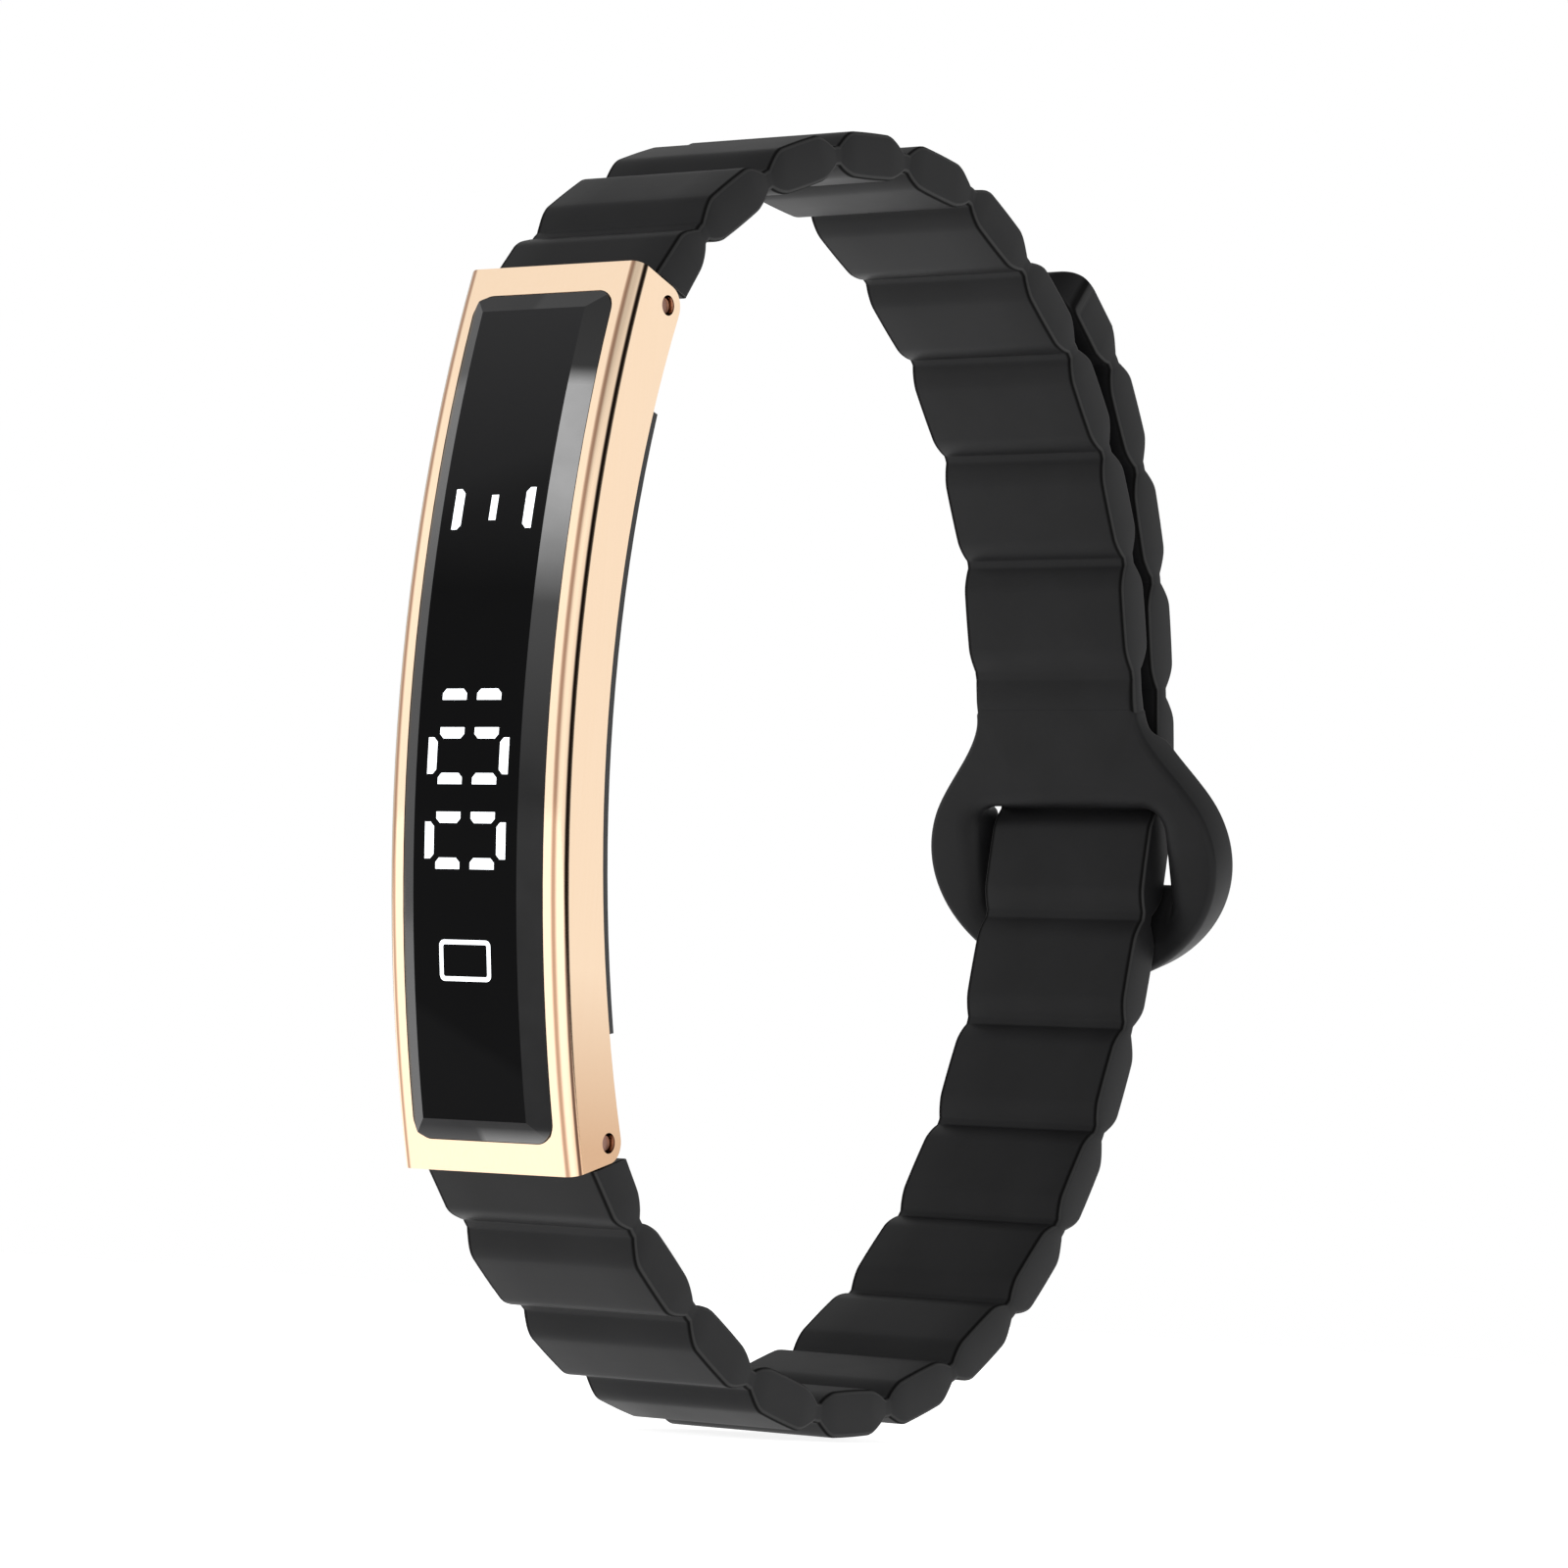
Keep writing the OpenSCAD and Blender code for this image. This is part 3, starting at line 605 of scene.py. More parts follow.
def rounded_rib(outer, inner, half_width, radius):
    """A closed rib across the strap between two points of the Y-Z plane, with round corners."""
    steps, x_steps = 5, 4
    outer, inner = np.array(outer, float), np.array(inner, float)
    thick = np.linalg.norm(outer - inner)
    up = (outer - inner) / thick
    radius = min(radius, 0.45 * thick)
    rib = []
    for side, base, out in ((1, outer, 1), (-1, outer, 1), (-1, inner, -1), (1, inner, -1)):
        arc = []
        for k in range(steps + 1):
            a = math.pi / 2 * k / steps
            x = side * (half_width - radius + radius * math.cos(a))
            v = -out * radius * (1 - math.sin(a))
            yz = base + v * up
            arc.append((x, yz[0], yz[1]))
        if (side, out) in ((-1, 1), (1, -1)):
            arc.reverse()
        rib += arc
    # points along the flat faces, so that the skin follows the crown
    full = []
    for j, p in enumerate(rib):
        full.append(p)
        q = rib[(j + 1) % len(rib)]
        if abs(p[0] - q[0]) > half_width:
            for k in range(1, x_steps):
                t = k / x_steps
                full.append(tuple(p[i] + t * (q[i] - p[i]) for i in range(3)))
    return full


def face_height(u, size, top):
    """Height of a link's face, with a slight swell in its middle."""
    near = min(u, size - u)
    swell = CROWN_SWELL * (1 - (2 * u / size - 1) ** 2)
    return rise(near, top - CROWN_SWELL) + swell * smooth_step(near / strap().groove)


def stations():
    """Distances from a web at which a strap piece has ribs, from mid link to mid link."""
    s = strap()
    fine = [0.13, WEB_FLAT - 0.03, WEB_FLAT + 0.03]
    fine += [WEB_FLAT + (s.groove - WEB_FLAT) * k / 9 for k in range(1, 10)]
    half = sorted(fine + [s.groove + (s.pitch / 2 - s.groove) * k / 4 for k in range(1, 5)])
    return [-u for u in reversed(half)] + [0.0] + half


def mirrored(ribs):
    """The same ribs in the lower half."""
    return [[(x, y, -z) for x, y, z in reversed(rib)] for rib in ribs]


def web_ribs(angles, points, i, mirror, first=None, last=None):
    """Ribs from the middle of link i-1, over web i, to the middle of link i."""
    s = strap()
    ribs = []
    for u in stations():
        if (first is not None and u < first) or (last is not None and u > last):
            continue
        a = angles[i - 1] + (angles[i] - angles[i - 1]) * smooth_step(0.5 + u / (2 * BEND))
        link = i - 1 if u < 0 else i
        low = s.web / 2 if link == NECK_LINK and mirror < 0 else s.crown_in
        size = s.end_pitch if link == 0 else s.pitch
        near, edge = abs(u), s.edge
        if u < 0 and link == 0:
            high_v, low_v = rise(near, s.crown_out), rise(near, s.crown_in)
        elif link == RING_LINK and mirror > 0:
            high_v, low_v = rise(near, ring().plate_out) - 0.02, rise(near, ring().plate_in) - 0.02
            edge += (ring().edge + 0.04 - edge) * smooth_step(near / 1.2)
        else:
            high_v = face_height(near, size, s.crown_out)
            low_v = face_height(near, size, low) if low > s.web / 2 else low
        centre = points[i] + u * direction(a)
        n = outward(a)
        ribs.append(rounded_rib(centre + high_v * n, centre - low_v * n, s.width / 2, edge))
    if mirror < 0:
        ribs = mirrored(ribs)
    return ribs


def flip_faces(faces):
    """The same faces, turned inside out."""
    return [tuple(reversed(f)) for f in faces]


def row_point(at, mirror):
    """The point in metres, on the middle plane, of a place on the strap's path."""
    return (0, at[0] * MM, mirror * at[1] * MM)


def strap_piece(name, ribs, material):
    """A closed piece of the strap over its ribs."""
    points, faces = loft(ribs)
    return add_mesh(name, points, flip_faces(faces), [material], sharp=50)


def end_piece(name, half, angles, points, mirror, material):
    """The end piece beside the case, its tongue round the spring bar, and half of the next link."""
    s, c = strap(), case()
    tilt = math.asin(c.length / 2 / c.front_radius)
    along = np.array([math.sin(tilt), math.cos(tilt)])
    inward = np.array([math.cos(tilt), -math.sin(tilt)])
    d, n, bar = direction(angles[0]), outward(angles[0]), points[0]
    cut = c.lug + 0.15
    step = 0.2
    top = s.crown_out + step
    u_out = (cut - top * (n @ along)) / (d @ along)
    u_in = (cut + s.crown_in * (n @ along)) / (d @ along)
    slope_start = s.end_pitch - s.groove
    ribs = []
    for k in range(7):
        t = k / 6
        out = bar + (u_out + t * (slope_start - u_out)) * d + (top - t * step) * n
        inn = bar + (u_in + t * (slope_start - u_in)) * d - s.crown_in * n
        ribs.append(rounded_rib(out, inn, s.width / 2, s.edge))
    if mirror < 0:
        ribs = mirrored(ribs)
    ribs += web_ribs(angles, points, 1, mirror, first=-s.groove * 0.95)
    points_a, faces_a = loft(ribs)
    # the tongue: a round nose on a short neck
    low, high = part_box(f"{half}_bar_tube")
    half_w = (high.x - low.x) / 2 / MM
    nose_r, neck = c.lug - 0.03, 0.9
    start = math.asin(math.sqrt(nose_r**2 - neck**2) / nose_r)
    outline = [(neck, cut + 0.4)]
    for k in range(25):
        a = start - (math.pi + 2 * start) * k / 24
        outline.append((nose_r * math.cos(a), nose_r * math.sin(a)))
    outline.append((-neck, cut + 0.4))
    rows, round_off = [], 0.08
    for x, shrink in (
        (-half_w, round_off), (-half_w + round_off, 0), (half_w - round_off, 0), (half_w, round_off),
    ):
        row = []
        for p, q in outline:
            k = 1 - shrink / nose_r
            at = bar + p * k * inward + q * (k if q < cut else 1) * along
            row.append((x, at[0], mirror * at[1]))
        rows.append(row if mirror > 0 else list(reversed(row)))
    points_b, faces_b = loft(rows)
    both = join_parts((points_a, flip_faces(faces_a)), (points_b, faces_b))
    return add_mesh(name, *both, [material], sharp=50)


# ---------------------------------------------------------------- operators


class PieceOperator(bpy.types.Operator):
    """Base of the operators that add pieces to the scene."""

    bl_options = {"REGISTER", "UNDO"}

    def execute(self, context):
        self.build()
        return {"FINISHED"}


def shade_node(name, material, sharp=30):
    """Gives a CAD node its finish and smooth curved faces."""
    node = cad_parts[name]
    node.data.materials.clear()
    node.data.materials.append(material)
    node.data.polygons.foreach_set("use_smooth", [True] * len(node.data.polygons))
    node.data.set_sharp_from_angle(angle=math.radians(sharp))
    return node


class TRACKER_OT_metal_frame(PieceOperator):
    """Finish the polished metal frame"""

    bl_idname = "tracker.metal_frame"
    bl_label = "Metal frame"

    def build(self):
        shade_node("case_frame", metal_finish())


def window_outline(shrink):
    """The window's rounded outline as (x, distance along the front), from the right side on."""
    c = case()
    w, h = c.window_width / 2 - shrink, c.window_length / 2 - shrink
    r = c.window_corner - shrink
    points = []
    side_steps, end_steps, arc_steps = 26, 6, 16
    for k in range(side_steps):
        points.append((w, -(h - r) + 2 * (h - r) * k / side_steps))
    for k in range(arc_steps):
        a = math.pi / 2 * k / arc_steps
        points.append((w - r + r * math.cos(a), h - r + r * math.sin(a)))
    for k in range(end_steps):
        points.append((w - r - 2 * (w - r) * k / end_steps, h))
    for k in range(arc_steps):
        a = math.pi / 2 + math.pi / 2 * k / arc_steps
        points.append((-(w - r) + r * math.cos(a), h - r + r * math.sin(a)))
    return points + [(-x, -z) for x, z in points]


def on_front(x, z, radius):
    """The point over (x, z) on a cylinder about the front face's axis."""
    c = case()
    axis = c.front_radius - c.reach
    a = math.asin(z / c.front_radius)
    return (x, axis - radius * math.cos(a), radius * math.sin(a))


# How far the lit marks stand above the glass, and how far they reach into it.
MARK_LIFT = 0.02
MARK_SINK = 0.05


class TRACKER_OT_display(PieceOperator):
    """Build the bevelled glass and the lit marks"""

    bl_idname = "tracker.display"
    bl_label = "Display"

    def build(self):
        self.glass()
        self.marks()

    def glass(self):
        c = case()
        gap = 0.04
        w, h = c.window_width / 2 - gap, c.window_length / 2 - gap
        flat_w, flat_h = w - c.bevel_width, h - c.bevel_width
        outline = window_outline(gap)
        points, faces, slots = [], [], []

        def height(x, z):
            near = min(w - abs(x), h - abs(z))
            return c.bevel_height * min(1, near / c.bevel_width)

        count = len(outline)
        base = c.front_radius - c.lip
        for x, z in outline:
            points.append(on_front(x, z, base))
        for x, z in outline:
            points.append(on_front(x, z, c.front_radius + height(x, z)))
        inner = []
        for x, z in outline:
            side = w - abs(x) < h - abs(z)
            q = (
                math.copysign(flat_w, x) if side else min(max(x, -flat_w), flat_w),
                min(max(z, -flat_h), flat_h) if side else math.copysign(flat_h, z),
            )
            inner.append(q)
            points.append(on_front(*q, c.front_radius + c.bevel_height))
        for j in range(count):
            k = (j + 1) % count
            faces.append((j, k, count + k, count + j))
            slots.append(1)
            if math.dist(inner[j], inner[k]) < 1e-6:
                faces.append((count + j, count + k, 2 * count + j))
            else:
                faces.append((count + j, count + k, 2 * count + k, 2 * count + j))
            slots.append(1)
        rows = sorted({round(q[1], 6) for q in inner if abs(abs(q[0]) - flat_w) < 1e-6})
        start = len(points)
        for z in rows:
            for x in (-flat_w, flat_w):
                points.append(on_front(x, z, c.front_radius + c.bevel_height))
        for i in range(len(rows) - 1):
            a = start + 2 * i
            faces.append((a, a + 1, a + 3, a + 2))
            slots.append(0)
        faces.append(tuple(reversed(range(count))))
        slots.append(1)
        glass = add_mesh(
            "display_glass", points, faces,
            [glass_finish("display_glass", 0.035), bevel_finish()], slots, sharp=12,
        )
        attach(glass, "tracker")
        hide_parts("cover_glass")

    def marks(self):
        """Each lit mark is a thin tile on the glass, bent to its curve."""
        c, d = case(), display()
        level = c.front_radius + c.bevel_height
        tiles = []

        def stroke(size, thick, at, turn):
            cut = 0.4 * thick
            flat = [
                (-size / 2, thick), (size / 2, thick), (size / 2, cut), (size / 2 - cut, 0),
                (-size / 2 + cut, 0), (-size / 2, cut),
            ]
            t = math.radians(turn)
            tiles.append([
                (at[0] + x * math.cos(t) - z * math.sin(t), at[1] + x * math.sin(t) + z * math.cos(t))
                for x, z in flat
            ])

        dash = 0.296 * d.digit_width
        half_h, half_w = d.digit_height / 2 - d.stroke, d.digit_width / 2 - d.stroke

        def dashes(z, flip):
            for s in (-1, 1):
                stroke(dash, d.stroke, (s * (dash / 2 + 0.34), z), 180 if flip else 0)

        first = -2.52
        dashes(first + d.digit_pitch - half_h, True)
        for i in range(2):
            z = first - i * d.digit_pitch
            dashes(z + half_h, False)
            dashes(z - half_h, True)
            for s in (1, -1):
                stroke(d.digit_height - 2 * d.stroke + 0.1, d.stroke, (s * half_w, z), -90 * s)
        # three bars near the upper end, the middle one short
        for s in (1, -1):
            stroke(2.1, d.stroke, (s * (0.44 * d.digit_width - d.stroke / 2), 10.1), -90 * s)
        w, low, high = (d.stroke - 0.14) / 2, 9.5, 10.8
        tiles.append([(w, low), (w, high), (-w, high), (-w, low)])
        parts = [self.tile(tile, level) for tile in tiles]
        parts.append(self.notice_frame(level))
        marks = add_mesh("lit_marks", *join_parts(*parts), [lit_finish()])
        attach(marks, "tracker")
        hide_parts("display_segments")

    def tile(self, outline, level):
        area = sum(a[0] * b[1] - b[0] * a[1] for a, b in zip(outline, outline[1:] + outline[:1]))
        if area < 0:
            outline = list(reversed(outline))
        low = [on_front(x, z, level - MARK_SINK) for x, z in outline]
        high = [on_front(x, z, level + MARK_LIFT) for x, z in outline]
        return loft([high, low])

    def notice_frame(self, level):
        """The rounded outline near the lower end of the display."""
        middle = -12.75
        loops = []
        for half_w, half_h, r in ((1.4, 0.8, 0.12), (1.625, 1.025, 0.3)):
            loop = []
            for corner, (sx, sz) in enumerate(((1, 1), (-1, 1), (-1, -1), (1, -1))):
                for k in range(6):
                    a = math.pi / 2 * (corner + k / 5)
                    x = sx * (half_w - r) + r * math.cos(a)
                    loop.append((x, middle + sz * (half_h - r) + r * math.sin(a)))
            loops.append(loop)
        inner, outer = loops
        ribs = []
        for (xi, zi), (xo, zo) in zip(inner, outer):
            ribs.append([
                on_front(xi, zi, level + MARK_LIFT), on_front(xi, zi, level - MARK_SINK),
                on_front(xo, zo, level - MARK_SINK), on_front(xo, zo, level + MARK_LIFT),
            ])
        return loft(ribs, loop=True)


class TRACKER_OT_back_cover(PieceOperator):
    """Finish the back cover, its sensor window and its contacts"""

    bl_idname = "tracker.back_cover"
    bl_label = "Back cover"

    def build(self):
        shade_node("back_cover", plain_finish("cover_plastic", (0.014, 0.014, 0.015), 0.42, grain_scale=9000))
        shade_node("sensor_window", glass_finish("sensor_window", 0.5))
        shade_node("charging_contacts", plain_finish("gold_plating", (0.9, 0.66, 0.3), 0.22, 1.0))
        shade_node("cover_seal", plain_finish("seal_rubber", (0.03, 0.03, 0.033), 0.7))


class TRACKER_OT_spring_bars(PieceOperator):
    """Finish the spring bars"""

    bl_idname = "tracker.spring_bars"
    bl_label = "Spring bars"

    def build(self):
        steel = plain_finish("bar_steel", (0.35, 0.2, 0.16), 0.3, 1.0)
        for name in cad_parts:
            if "_bar_" in name:
                shade_node(name, steel)


class TRACKER_OT_inner_parts(PieceOperator):
    """Finish the electronics inside the case"""

    bl_idname = "tracker.inner_parts"
    bl_label = "Inner parts"

    def build(self):
        board = plain_finish("solder_mask", (0.01, 0.09, 0.04), 0.35)
        metal = plain_finish("tinned_steel", (0.6, 0.6, 0.62), 0.3, 1.0)
        finishes = {
            "glass_adhesive": plain_finish("clear_film", (0.7, 0.75, 0.78), 0.2),
            "light_mask": plain_finish("mask_plastic", (0.01, 0.01, 0.01), 0.6),
            "light_board": board,
            "main_board": board,
            "sensor_board": board,
            "display_flex": plain_finish("polyimide", (0.5, 0.2, 0.03), 0.35),
            "shield_can": metal,
            "vibration_motor": metal,
            "chip_antenna": plain_finish("ceramic", (0.75, 0.72, 0.62), 0.5),
            "motion_sensor": plain_finish("chip_resin", (0.02, 0.02, 0.022), 0.5),
            "photodiode": plain_finish("photodiode_resin", (0.015, 0.015, 0.03), 0.2),
            "battery": plain_finish("cell_foil", (0.45, 0.46, 0.49), 0.35, 0.8),
            "green_leds": plain_finish("led_resin", (0.1, 0.6, 0.12), 0.2),
        }
        for name, material in finishes.items():
            shade_node(name, material)
        magnet = plain_finish("magnet_plating", (0.55, 0.55, 0.57), 0.25, 1.0)
        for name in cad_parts:
            if "magnet" in name:
                shade_node(name, magnet)


def section_names(half):
    """The CAD sections of one half's links, first link first."""
    if half == "upper":
        return [f"upper_strap_{i // 2 + 1}" for i in range(RING_LINK)] + ["strap_ring"]
    return (
        [f"lower_strap_{min(i // 2, 5) + 1}" for i in range(NECK_LINK + 1)]
        + ["tail_link_1", "tail_link_2", "tail_link_3", "tail_tip"]
    )


def body_of(section):
    """The body a section belongs to. The doubled run of the upper half moves as one with the ring."""
    return "strap_ring" if section in ("upper_strap_4", "upper_strap_5") else section


# Past the last web, where the ring's own piece starts and where the web's piece ends inside it.
RING_START = 1.9
NECK_END = 3.1


def build_half(half, last_web, material):
    """The strap pieces of one half, from the case to the web before its last piece."""
    mirror = 1 if half == "upper" else -1
    angles, points = strap_paths()[half]
    sections = section_names(half)
    end = end_piece(f"{half}_band_end", half, angles, points, mirror, material)
    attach(end, body_of(sections[0]))
    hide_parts(f"{half}_strap_1")
    replaced = {sections[0]}
    for i in range(2, last_web + 1):
        last = None
        if half == "upper" and i == RING_LINK:
            last = NECK_END
        elif i == last_web:
            last = strap().groove * 0.99
        piece = strap_piece(f"{half}_band_{i:02d}", web_ribs(angles, points, i, mirror, last=last), material)
        pair = sections[i - 1 : i + 1]
        a, b = (body_of(section) for section in pair)
        if a == b:
            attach(piece, a)
        else:
            d = direction((angles[i - 1] + angles[i]) / 2)
            start, end = (row_point(points[i] + u * d, mirror) for u in (-BEND, BEND))
            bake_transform(piece)
        for section in pair:
            if section not in replaced and section not in ("strap_ring", "tail_tip"):
                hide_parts(section)
                replaced.add(section)


class TRACKER_OT_upper_strap(PieceOperator):
    """Build the upper half of the silicone strap"""

    bl_idname = "tracker.upper_strap"
    bl_label = "Upper strap"

    def build(self):
        build_half("upper", RING_LINK, silicone_finish(strap().width / 2))


class TRACKER_OT_lower_strap(PieceOperator):
    """Build the lower half of the silicone strap, its tail and its tip"""

    bl_idname = "tracker.lower_strap"
    bl_label = "Lower strap"

    def build(self):
        material = silicone_finish(strap().width / 2)
        angles, points = strap_paths()["lower"]
        build_half("lower", len(angles) - 1, material)
        self.tip(angles[-1], points[-2], material)

    def tip(self, angle, at, material):
        """The free tip: rounded in plan and over its end."""
        s = strap()
        d, n = direction(angle), outward(angle)
        corner, nose = 2.3, 1.5
        ribs = []
        lengths = [s.groove * (0.9 + 0.1 * k / 3) for k in range(4)]
        lengths += [s.groove + (s.tip - corner - s.groove) * k / 5 for k in range(1, 6)]
        lengths += [s.tip - corner + corner * math.sin(math.pi / 2 * k / 16) for k in range(1, 17)]
        for u in lengths:
            into = max(0, u - (s.tip - corner)) / corner
            half_w = s.width / 2 - corner * (1 - math.sqrt(max(0, 1 - into**2)))
            over = max(0, u - (s.tip - nose)) / nose
            thin = max(0.12, math.sqrt(max(0, 1 - over**2)))
            high, low = rise(u, s.crown_out) * thin, rise(u, s.crown_in) * thin
            centre = at + u * d
            ribs.append(rounded_rib(centre + high * n, centre - low * n, half_w, s.edge))
        tip = strap_piece("tail_tip_end", mirrored(ribs), material)
        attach(tip, "tail_tip")
        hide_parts("tail_tip")


# How far the slot's walls lean in towards the outer side, beside the strap and at the foot.
SIDE_TAPER = 0.9
FOOT_TAPER = 2.8


class TRACKER_OT_strap_ring(PieceOperator):
    """Build the flat ring that the lower half passes through"""

    bl_idname = "tracker.strap_ring"
    bl_label = "Strap ring"

    def outline(self):
        """The ring's outer edge as (x, distance from the last web), from the right side on."""
        s, r = strap(), ring()
        slot_h = s.pitch + r.slot_play
        ring_w = s.width + 2 * (r.slot_side + r.side)
        ring_l = r.neck + slot_h + r.foot
        # the bulb is an ellipse, and a smooth curve leads to it from the neck's straight side
        b = (ring_l - r.neck + r.foot) / 2 + 0.65
        middle = ring_l - b
        top = RING_START + 0.3
        end = middle - 0.38 * b

        def bulb(u):
            return ring_w / 2 * math.sqrt(max(0, 1 - ((u - middle) / b) ** 2))

        slope = -ring_w / 2 * (end - middle) / b**2 / math.sqrt(1 - ((end - middle) / b) ** 2)
        side = [(s.width / 2 - 0.3, RING_START)]
        for k in range(25):
            t = k / 24
            x = s.width / 2 + (3 * t**2 - 2 * t**3) * (bulb(end) - s.width / 2)
            x += (t**3 - t**2) * (end - top) * slope
            side.append((x, top + (end - top) * t))
        first = math.asin((end - middle) / b)
        for k in range(1, 61):
            a = first + (math.pi / 2 - first) * k / 60
            side.append((ring_w / 2 * math.cos(a), middle + b * math.sin(a)))
        back = [(-x, u) for x, u in reversed(side[:-1])]
        across = [((s.width - 0.6) * (k / 20 - 0.5), RING_START) for k in range(1, 20)]
        return side + back + across, (0, r.neck + slot_h / 2), slot_h

    def slot_point(self, ray, slot_h):
        """Where a ray from the slot's middle meets its rounded edge."""
        s, r = strap(), ring()
        w, h, c = s.width / 2 + r.slot_side, slot_h / 2, r.slot_corner
        dx, du = abs(ray[0]), abs(ray[1])
        size = math.hypot(dx, du)
        dx, du = dx / size, du / size
        reach = min(w / dx if dx > 1e-9 else 1e9, h / du if du > 1e-9 else 1e9)
        x, u = reach * dx, reach * du
        if x > w - c and u > h - c:
            dot = dx * (w - c) + du * (h - c)
            reach = dot + math.sqrt(max(0, dot**2 - (w - c) ** 2 - (h - c) ** 2 + c**2))
            x, u = reach * dx, reach * du
        return math.copysign(x, ray[0]), math.copysign(u, ray[1])

    def build(self):
        s, r = strap(), ring()
        at = strap_paths()["upper"][1][-1]
        d, n = direction(RING_HEADING), outward(RING_HEADING)
        outline, middle, slot_h = self.outline()
        ribs = []
        for x, u in outline:
            sx, su = self.slot_point((x - middle[0], u - middle[1]), slot_h)
            inner = np.array([middle[0] + sx, middle[1] + su])
            outer = np.array([x, u])
            gap = np.linalg.norm(outer - inner)
            way = (outer - inner) / gap
            hidden = u < RING_START + 0.01 and abs(x) < s.width / 2 - 0.01
            edge = 0.1 if hidden else r.edge
            section = self.section(gap, edge, self.lift(inner, middle), self.lift(outer, middle))
            beside = smooth_step(abs(sx) - s.width / 2 + 0.6) * smooth_step((slot_h / 2 - abs(su)) / 1.5)
            lip = slot_h / 2 - FOOT_TAPER
            lean = np.array([-math.copysign(SIDE_TAPER * beside, sx), min(0, lip - su)])
            height = r.plate_out + r.rim_lift + r.plate_in
            rib = []
            for q, v in section:
                share = smooth_step((v + r.plate_in) / height) * (1 - smooth_step(q / gap))
                p = inner + q * way + share * lean
                yz = at + p[1] * d + v * n
                rib.append((p[0], yz[0], yz[1]))
            ribs.append(rib)
        points, faces = loft(ribs, loop=True)
        piece = add_mesh("flat_ring", points, faces, [silicone_finish()], sharp=60)
        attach(piece, "strap_ring")
        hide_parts("strap_ring")

    def lift(self, at, middle):
        """How far the thick rim stands above the neck at a place on the ring."""
        s, r = strap(), ring()
        beside = (abs(at[0]) - s.width / 2 - r.tail_room + 0.3) / 0.6
        below = (at[1] - middle[1]) / 1.5
        return r.rim_lift * smooth_step(max(beside, below))

    def section(self, gap, edge, inner_lift, outer_lift):
        """The ring's section: distance out from the slot and height above the middle line."""
        r = ring()
        slot_edge = r.slot_edge
        high, low = r.plate_out, -r.plate_in
        top_edge = min(edge + 0.2 * outer_lift, 0.45 * gap)
        points = []

        def corner(x, v, rx, rv, start):
            for k in range(7):
                a = math.radians(start + 90 * k / 6)
                points.append((x + rx * math.cos(a), v + rv * math.sin(a)))

        flat = 0.15
        out_v = min(edge, (high - low) / 2 - flat / 2)
        in_v = min(slot_edge, (high - low) / 2 - flat / 2)
        corner(gap - top_edge, high + outer_lift - out_v, top_edge, out_v, 0)
        for k in range(1, 12):
            t = k / 12
            x = gap - top_edge + t * (slot_edge + top_edge - gap)
            points.append((x, high + outer_lift + smooth_step(t) * (inner_lift - outer_lift)))
        corner(slot_edge, high + inner_lift - in_v, slot_edge, in_v, 90)
        corner(slot_edge, low + in_v, slot_edge, in_v, 180)
        corner(gap - edge, low + out_v, edge, out_v, 270)
        return points


# The camera's azimuth, elevation and roll in degrees, its place to the right of, above and behind
# its aim in millimetres, and its lens in millimetres.
CAMERA_TURN = (34.93, -5.05, 3.93)
CAMERA_OFFSET = (-7.15, 0.55, 313.657143)
CAMERA_AIM = Vector((0, 11, 0))
CAMERA_LENS = 127.34775

# Rings of panels: the height at which each takes over from the one below it, and its light at
# directions round the object in degrees. 0 is in front of the display, and 90 is to its right.
PANELS = [
    (-1.0, [
        (-180, 0.8), (-160, 0.8), (-152, 0.1), (-134, 0.1), (-126, 0.9), (-60, 1.2), (-27, 1.35), (0, 1.0),
        (24, 1.0), (50, 1.1), (104, 0.9), (117, 0.05), (132, 0.05), (139, 0.6), (180, 0.6),
    ]),
    (-0.42, [
        (-180, 0.8), (-160, 0.8), (-152, 0.1), (-134, 0.1), (-126, 0.7), (-60, 1.2), (-27, 1.3), (0, 1.0),
        (24, 1.0), (55, 1.3), (95, 1.15), (112, 0.05), (132, 0.05), (139, 0.93), (180, 0.93),
    ]),
    (0.3, [
        (-180, 0.8), (-160, 0.8), (-152, 0.15), (-134, 0.15), (-126, 0.5), (-60, 1.05), (-29, 1.15), (2, 0.9),
        (24, 1.0), (50, 1.1), (84, 0.9), (100, 0.05), (130, 0.05), (138, 0.98), (180, 0.98),
    ]),
    (0.72, [(-180, 0.7), (-60, 0.9), (-35, 1.0), (0, 0.6), (180, 0.7)]),
    (0.95, [(-180, 0.08), (180, 0.08)]),
]


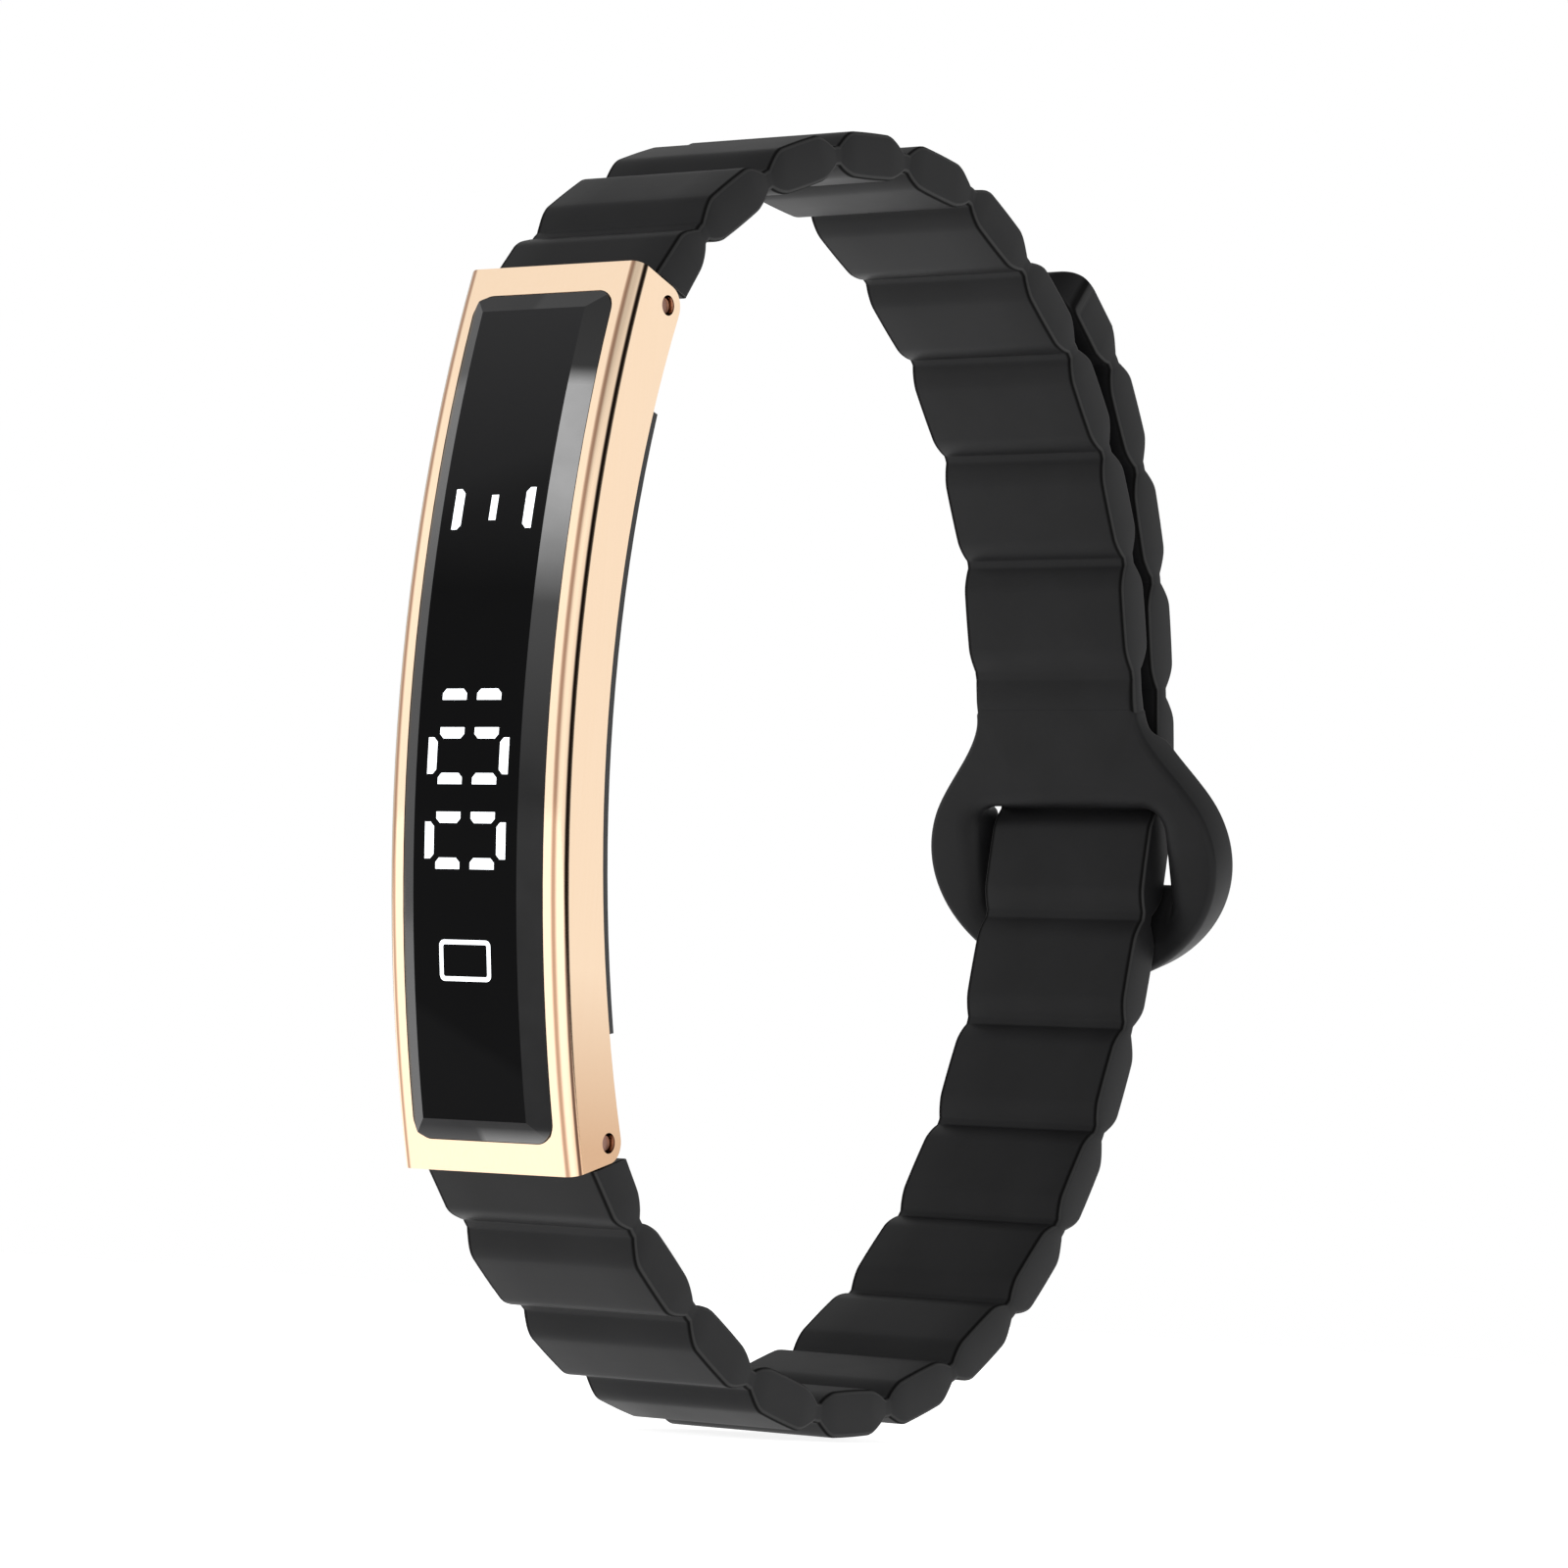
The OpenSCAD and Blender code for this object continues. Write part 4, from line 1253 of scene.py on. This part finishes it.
class TRACKER_OT_studio(PieceOperator):
    """Set out the pale floor, the soft studio light and the camera"""

    bl_idname = "tracker.studio"
    bl_label = "Studio"

    def build(self):
        self.floor()
        self.surroundings()
        self.camera()
        bpy.context.scene.view_settings.view_transform = "Standard"

    def floor(self):
        low = CAD_BOX[0].z / MM - 0.2
        size = 900
        corners = [(-size, -size, low), (size, -size, low), (size, size, low), (-size, size, low)]
        floor = add_mesh("pale_floor", corners, [(0, 1, 2, 3)], [self.paper()])

    def paper(self):
        f = Finish("white_paper")
        fibre = f.noise(40, 3)
        return f.surface(
            Base_Color=f.mix(fibre, (0.93, 0.93, 0.93, 1), (0.95, 0.95, 0.95, 1)),
            Roughness=0.9,
            Specular_IOR_Level=0.1,
            Emission_Color=(1, 1, 1, 1),
            Emission_Strength=0.85,
        )

    def surroundings(self):
        """A white tent round the object, with darker gaps between its panels."""
        world = bpy.data.worlds.new("studio")
        bpy.context.scene.world = world
        t = Tree(world)
        x, y, z = t.axes(t.node("ShaderNodeTexCoord", {}, output=0))
        turn = t.node("ShaderNodeMath", {"operation": "ARCTAN2"}, [x, y * -1.0])
        place = turn / (2 * math.pi) + 0.5
        blend_height = 0.22
        tent = None
        for low, lights in reversed(PANELS):
            stops = [(degrees / 360 + 0.5, light) for degrees, light in lights]
            panels = t.node("ShaderNodeValToRGB", {"stops": stops}, [place])
            if tent is None:
                tent = panels
            else:
                tent = t.mix(z.clamp(low, low + blend_height), panels, tent)
        # the background itself is plain white
        seen = t.node("ShaderNodeLightPath")
        light = t.mix(seen, tent, (1, 1, 1, 1))
        back = t.node("ShaderNodeBackground", {}, {"Color": light, "Strength": 1.0})
        t.node("ShaderNodeOutputWorld", {}, {"Surface": back})

    def camera(self):
        data = bpy.data.cameras.new("camera")
        camera = bpy.data.objects.new("camera", data)
        bpy.context.scene.collection.objects.link(camera)
        bpy.context.scene.camera = camera
        az, el, roll = (math.radians(v) for v in CAMERA_TURN)
        back = Vector((math.sin(az) * math.cos(el), -math.cos(az) * math.cos(el), math.sin(el)))
        level = Vector((math.cos(az), math.sin(az), 0))
        up = back.cross(level)
        right = math.cos(roll) * level + math.sin(roll) * up
        top = -math.sin(roll) * level + math.cos(roll) * up
        offset = CAMERA_OFFSET
        place = CAMERA_AIM + offset[0] * right + offset[1] * top + offset[2] * back
        camera.matrix_world = Matrix((
            (right.x, top.x, back.x, place.x * MM),
            (right.y, top.y, back.y, place.y * MM),
            (right.z, top.z, back.z, place.z * MM),
            (0, 0, 0, 1),
        ))
        data.sensor_width = 36
        data.lens = CAMERA_LENS
        data.clip_start, data.clip_end = 0.01, 10


class TRACKER_PT_panel(bpy.types.Panel):
    """Lists the tracker's pieces"""

    bl_label = "Tracker band"
    bl_idname = "TRACKER_PT_panel"
    bl_space_type = "VIEW_3D"
    bl_region_type = "UI"
    bl_category = "Tracker"

    def draw(self, context):
        for operator in OPERATORS:
            self.layout.operator(operator.bl_idname)
        for key in SETTINGS:
            group = getattr(context.scene, key)
            box = self.layout.box()
            for prop in group.__annotations__:
                box.prop(group, prop)


OPERATORS = (
    TRACKER_OT_studio,
    TRACKER_OT_metal_frame,
    TRACKER_OT_display,
    TRACKER_OT_back_cover,
    TRACKER_OT_spring_bars,
    TRACKER_OT_inner_parts,
    TRACKER_OT_upper_strap,
    TRACKER_OT_lower_strap,
    TRACKER_OT_strap_ring,
)
CLASSES = (*SETTINGS.values(), *OPERATORS, TRACKER_PT_panel)


def register():
    for cls in CLASSES:
        bpy.utils.register_class(cls)
    for key, group in SETTINGS.items():
        setattr(bpy.types.Scene, key, PointerProperty(type=group))


def unregister():
    for key in SETTINGS:
        delattr(bpy.types.Scene, key)
    for cls in reversed(CLASSES):
        bpy.utils.unregister_class(cls)


def main():
    register()
    for operator in OPERATORS:
        group, name = operator.bl_idname.split(".")
        getattr(getattr(bpy.ops, group), name)()


if __name__ == "__main__":
    main()
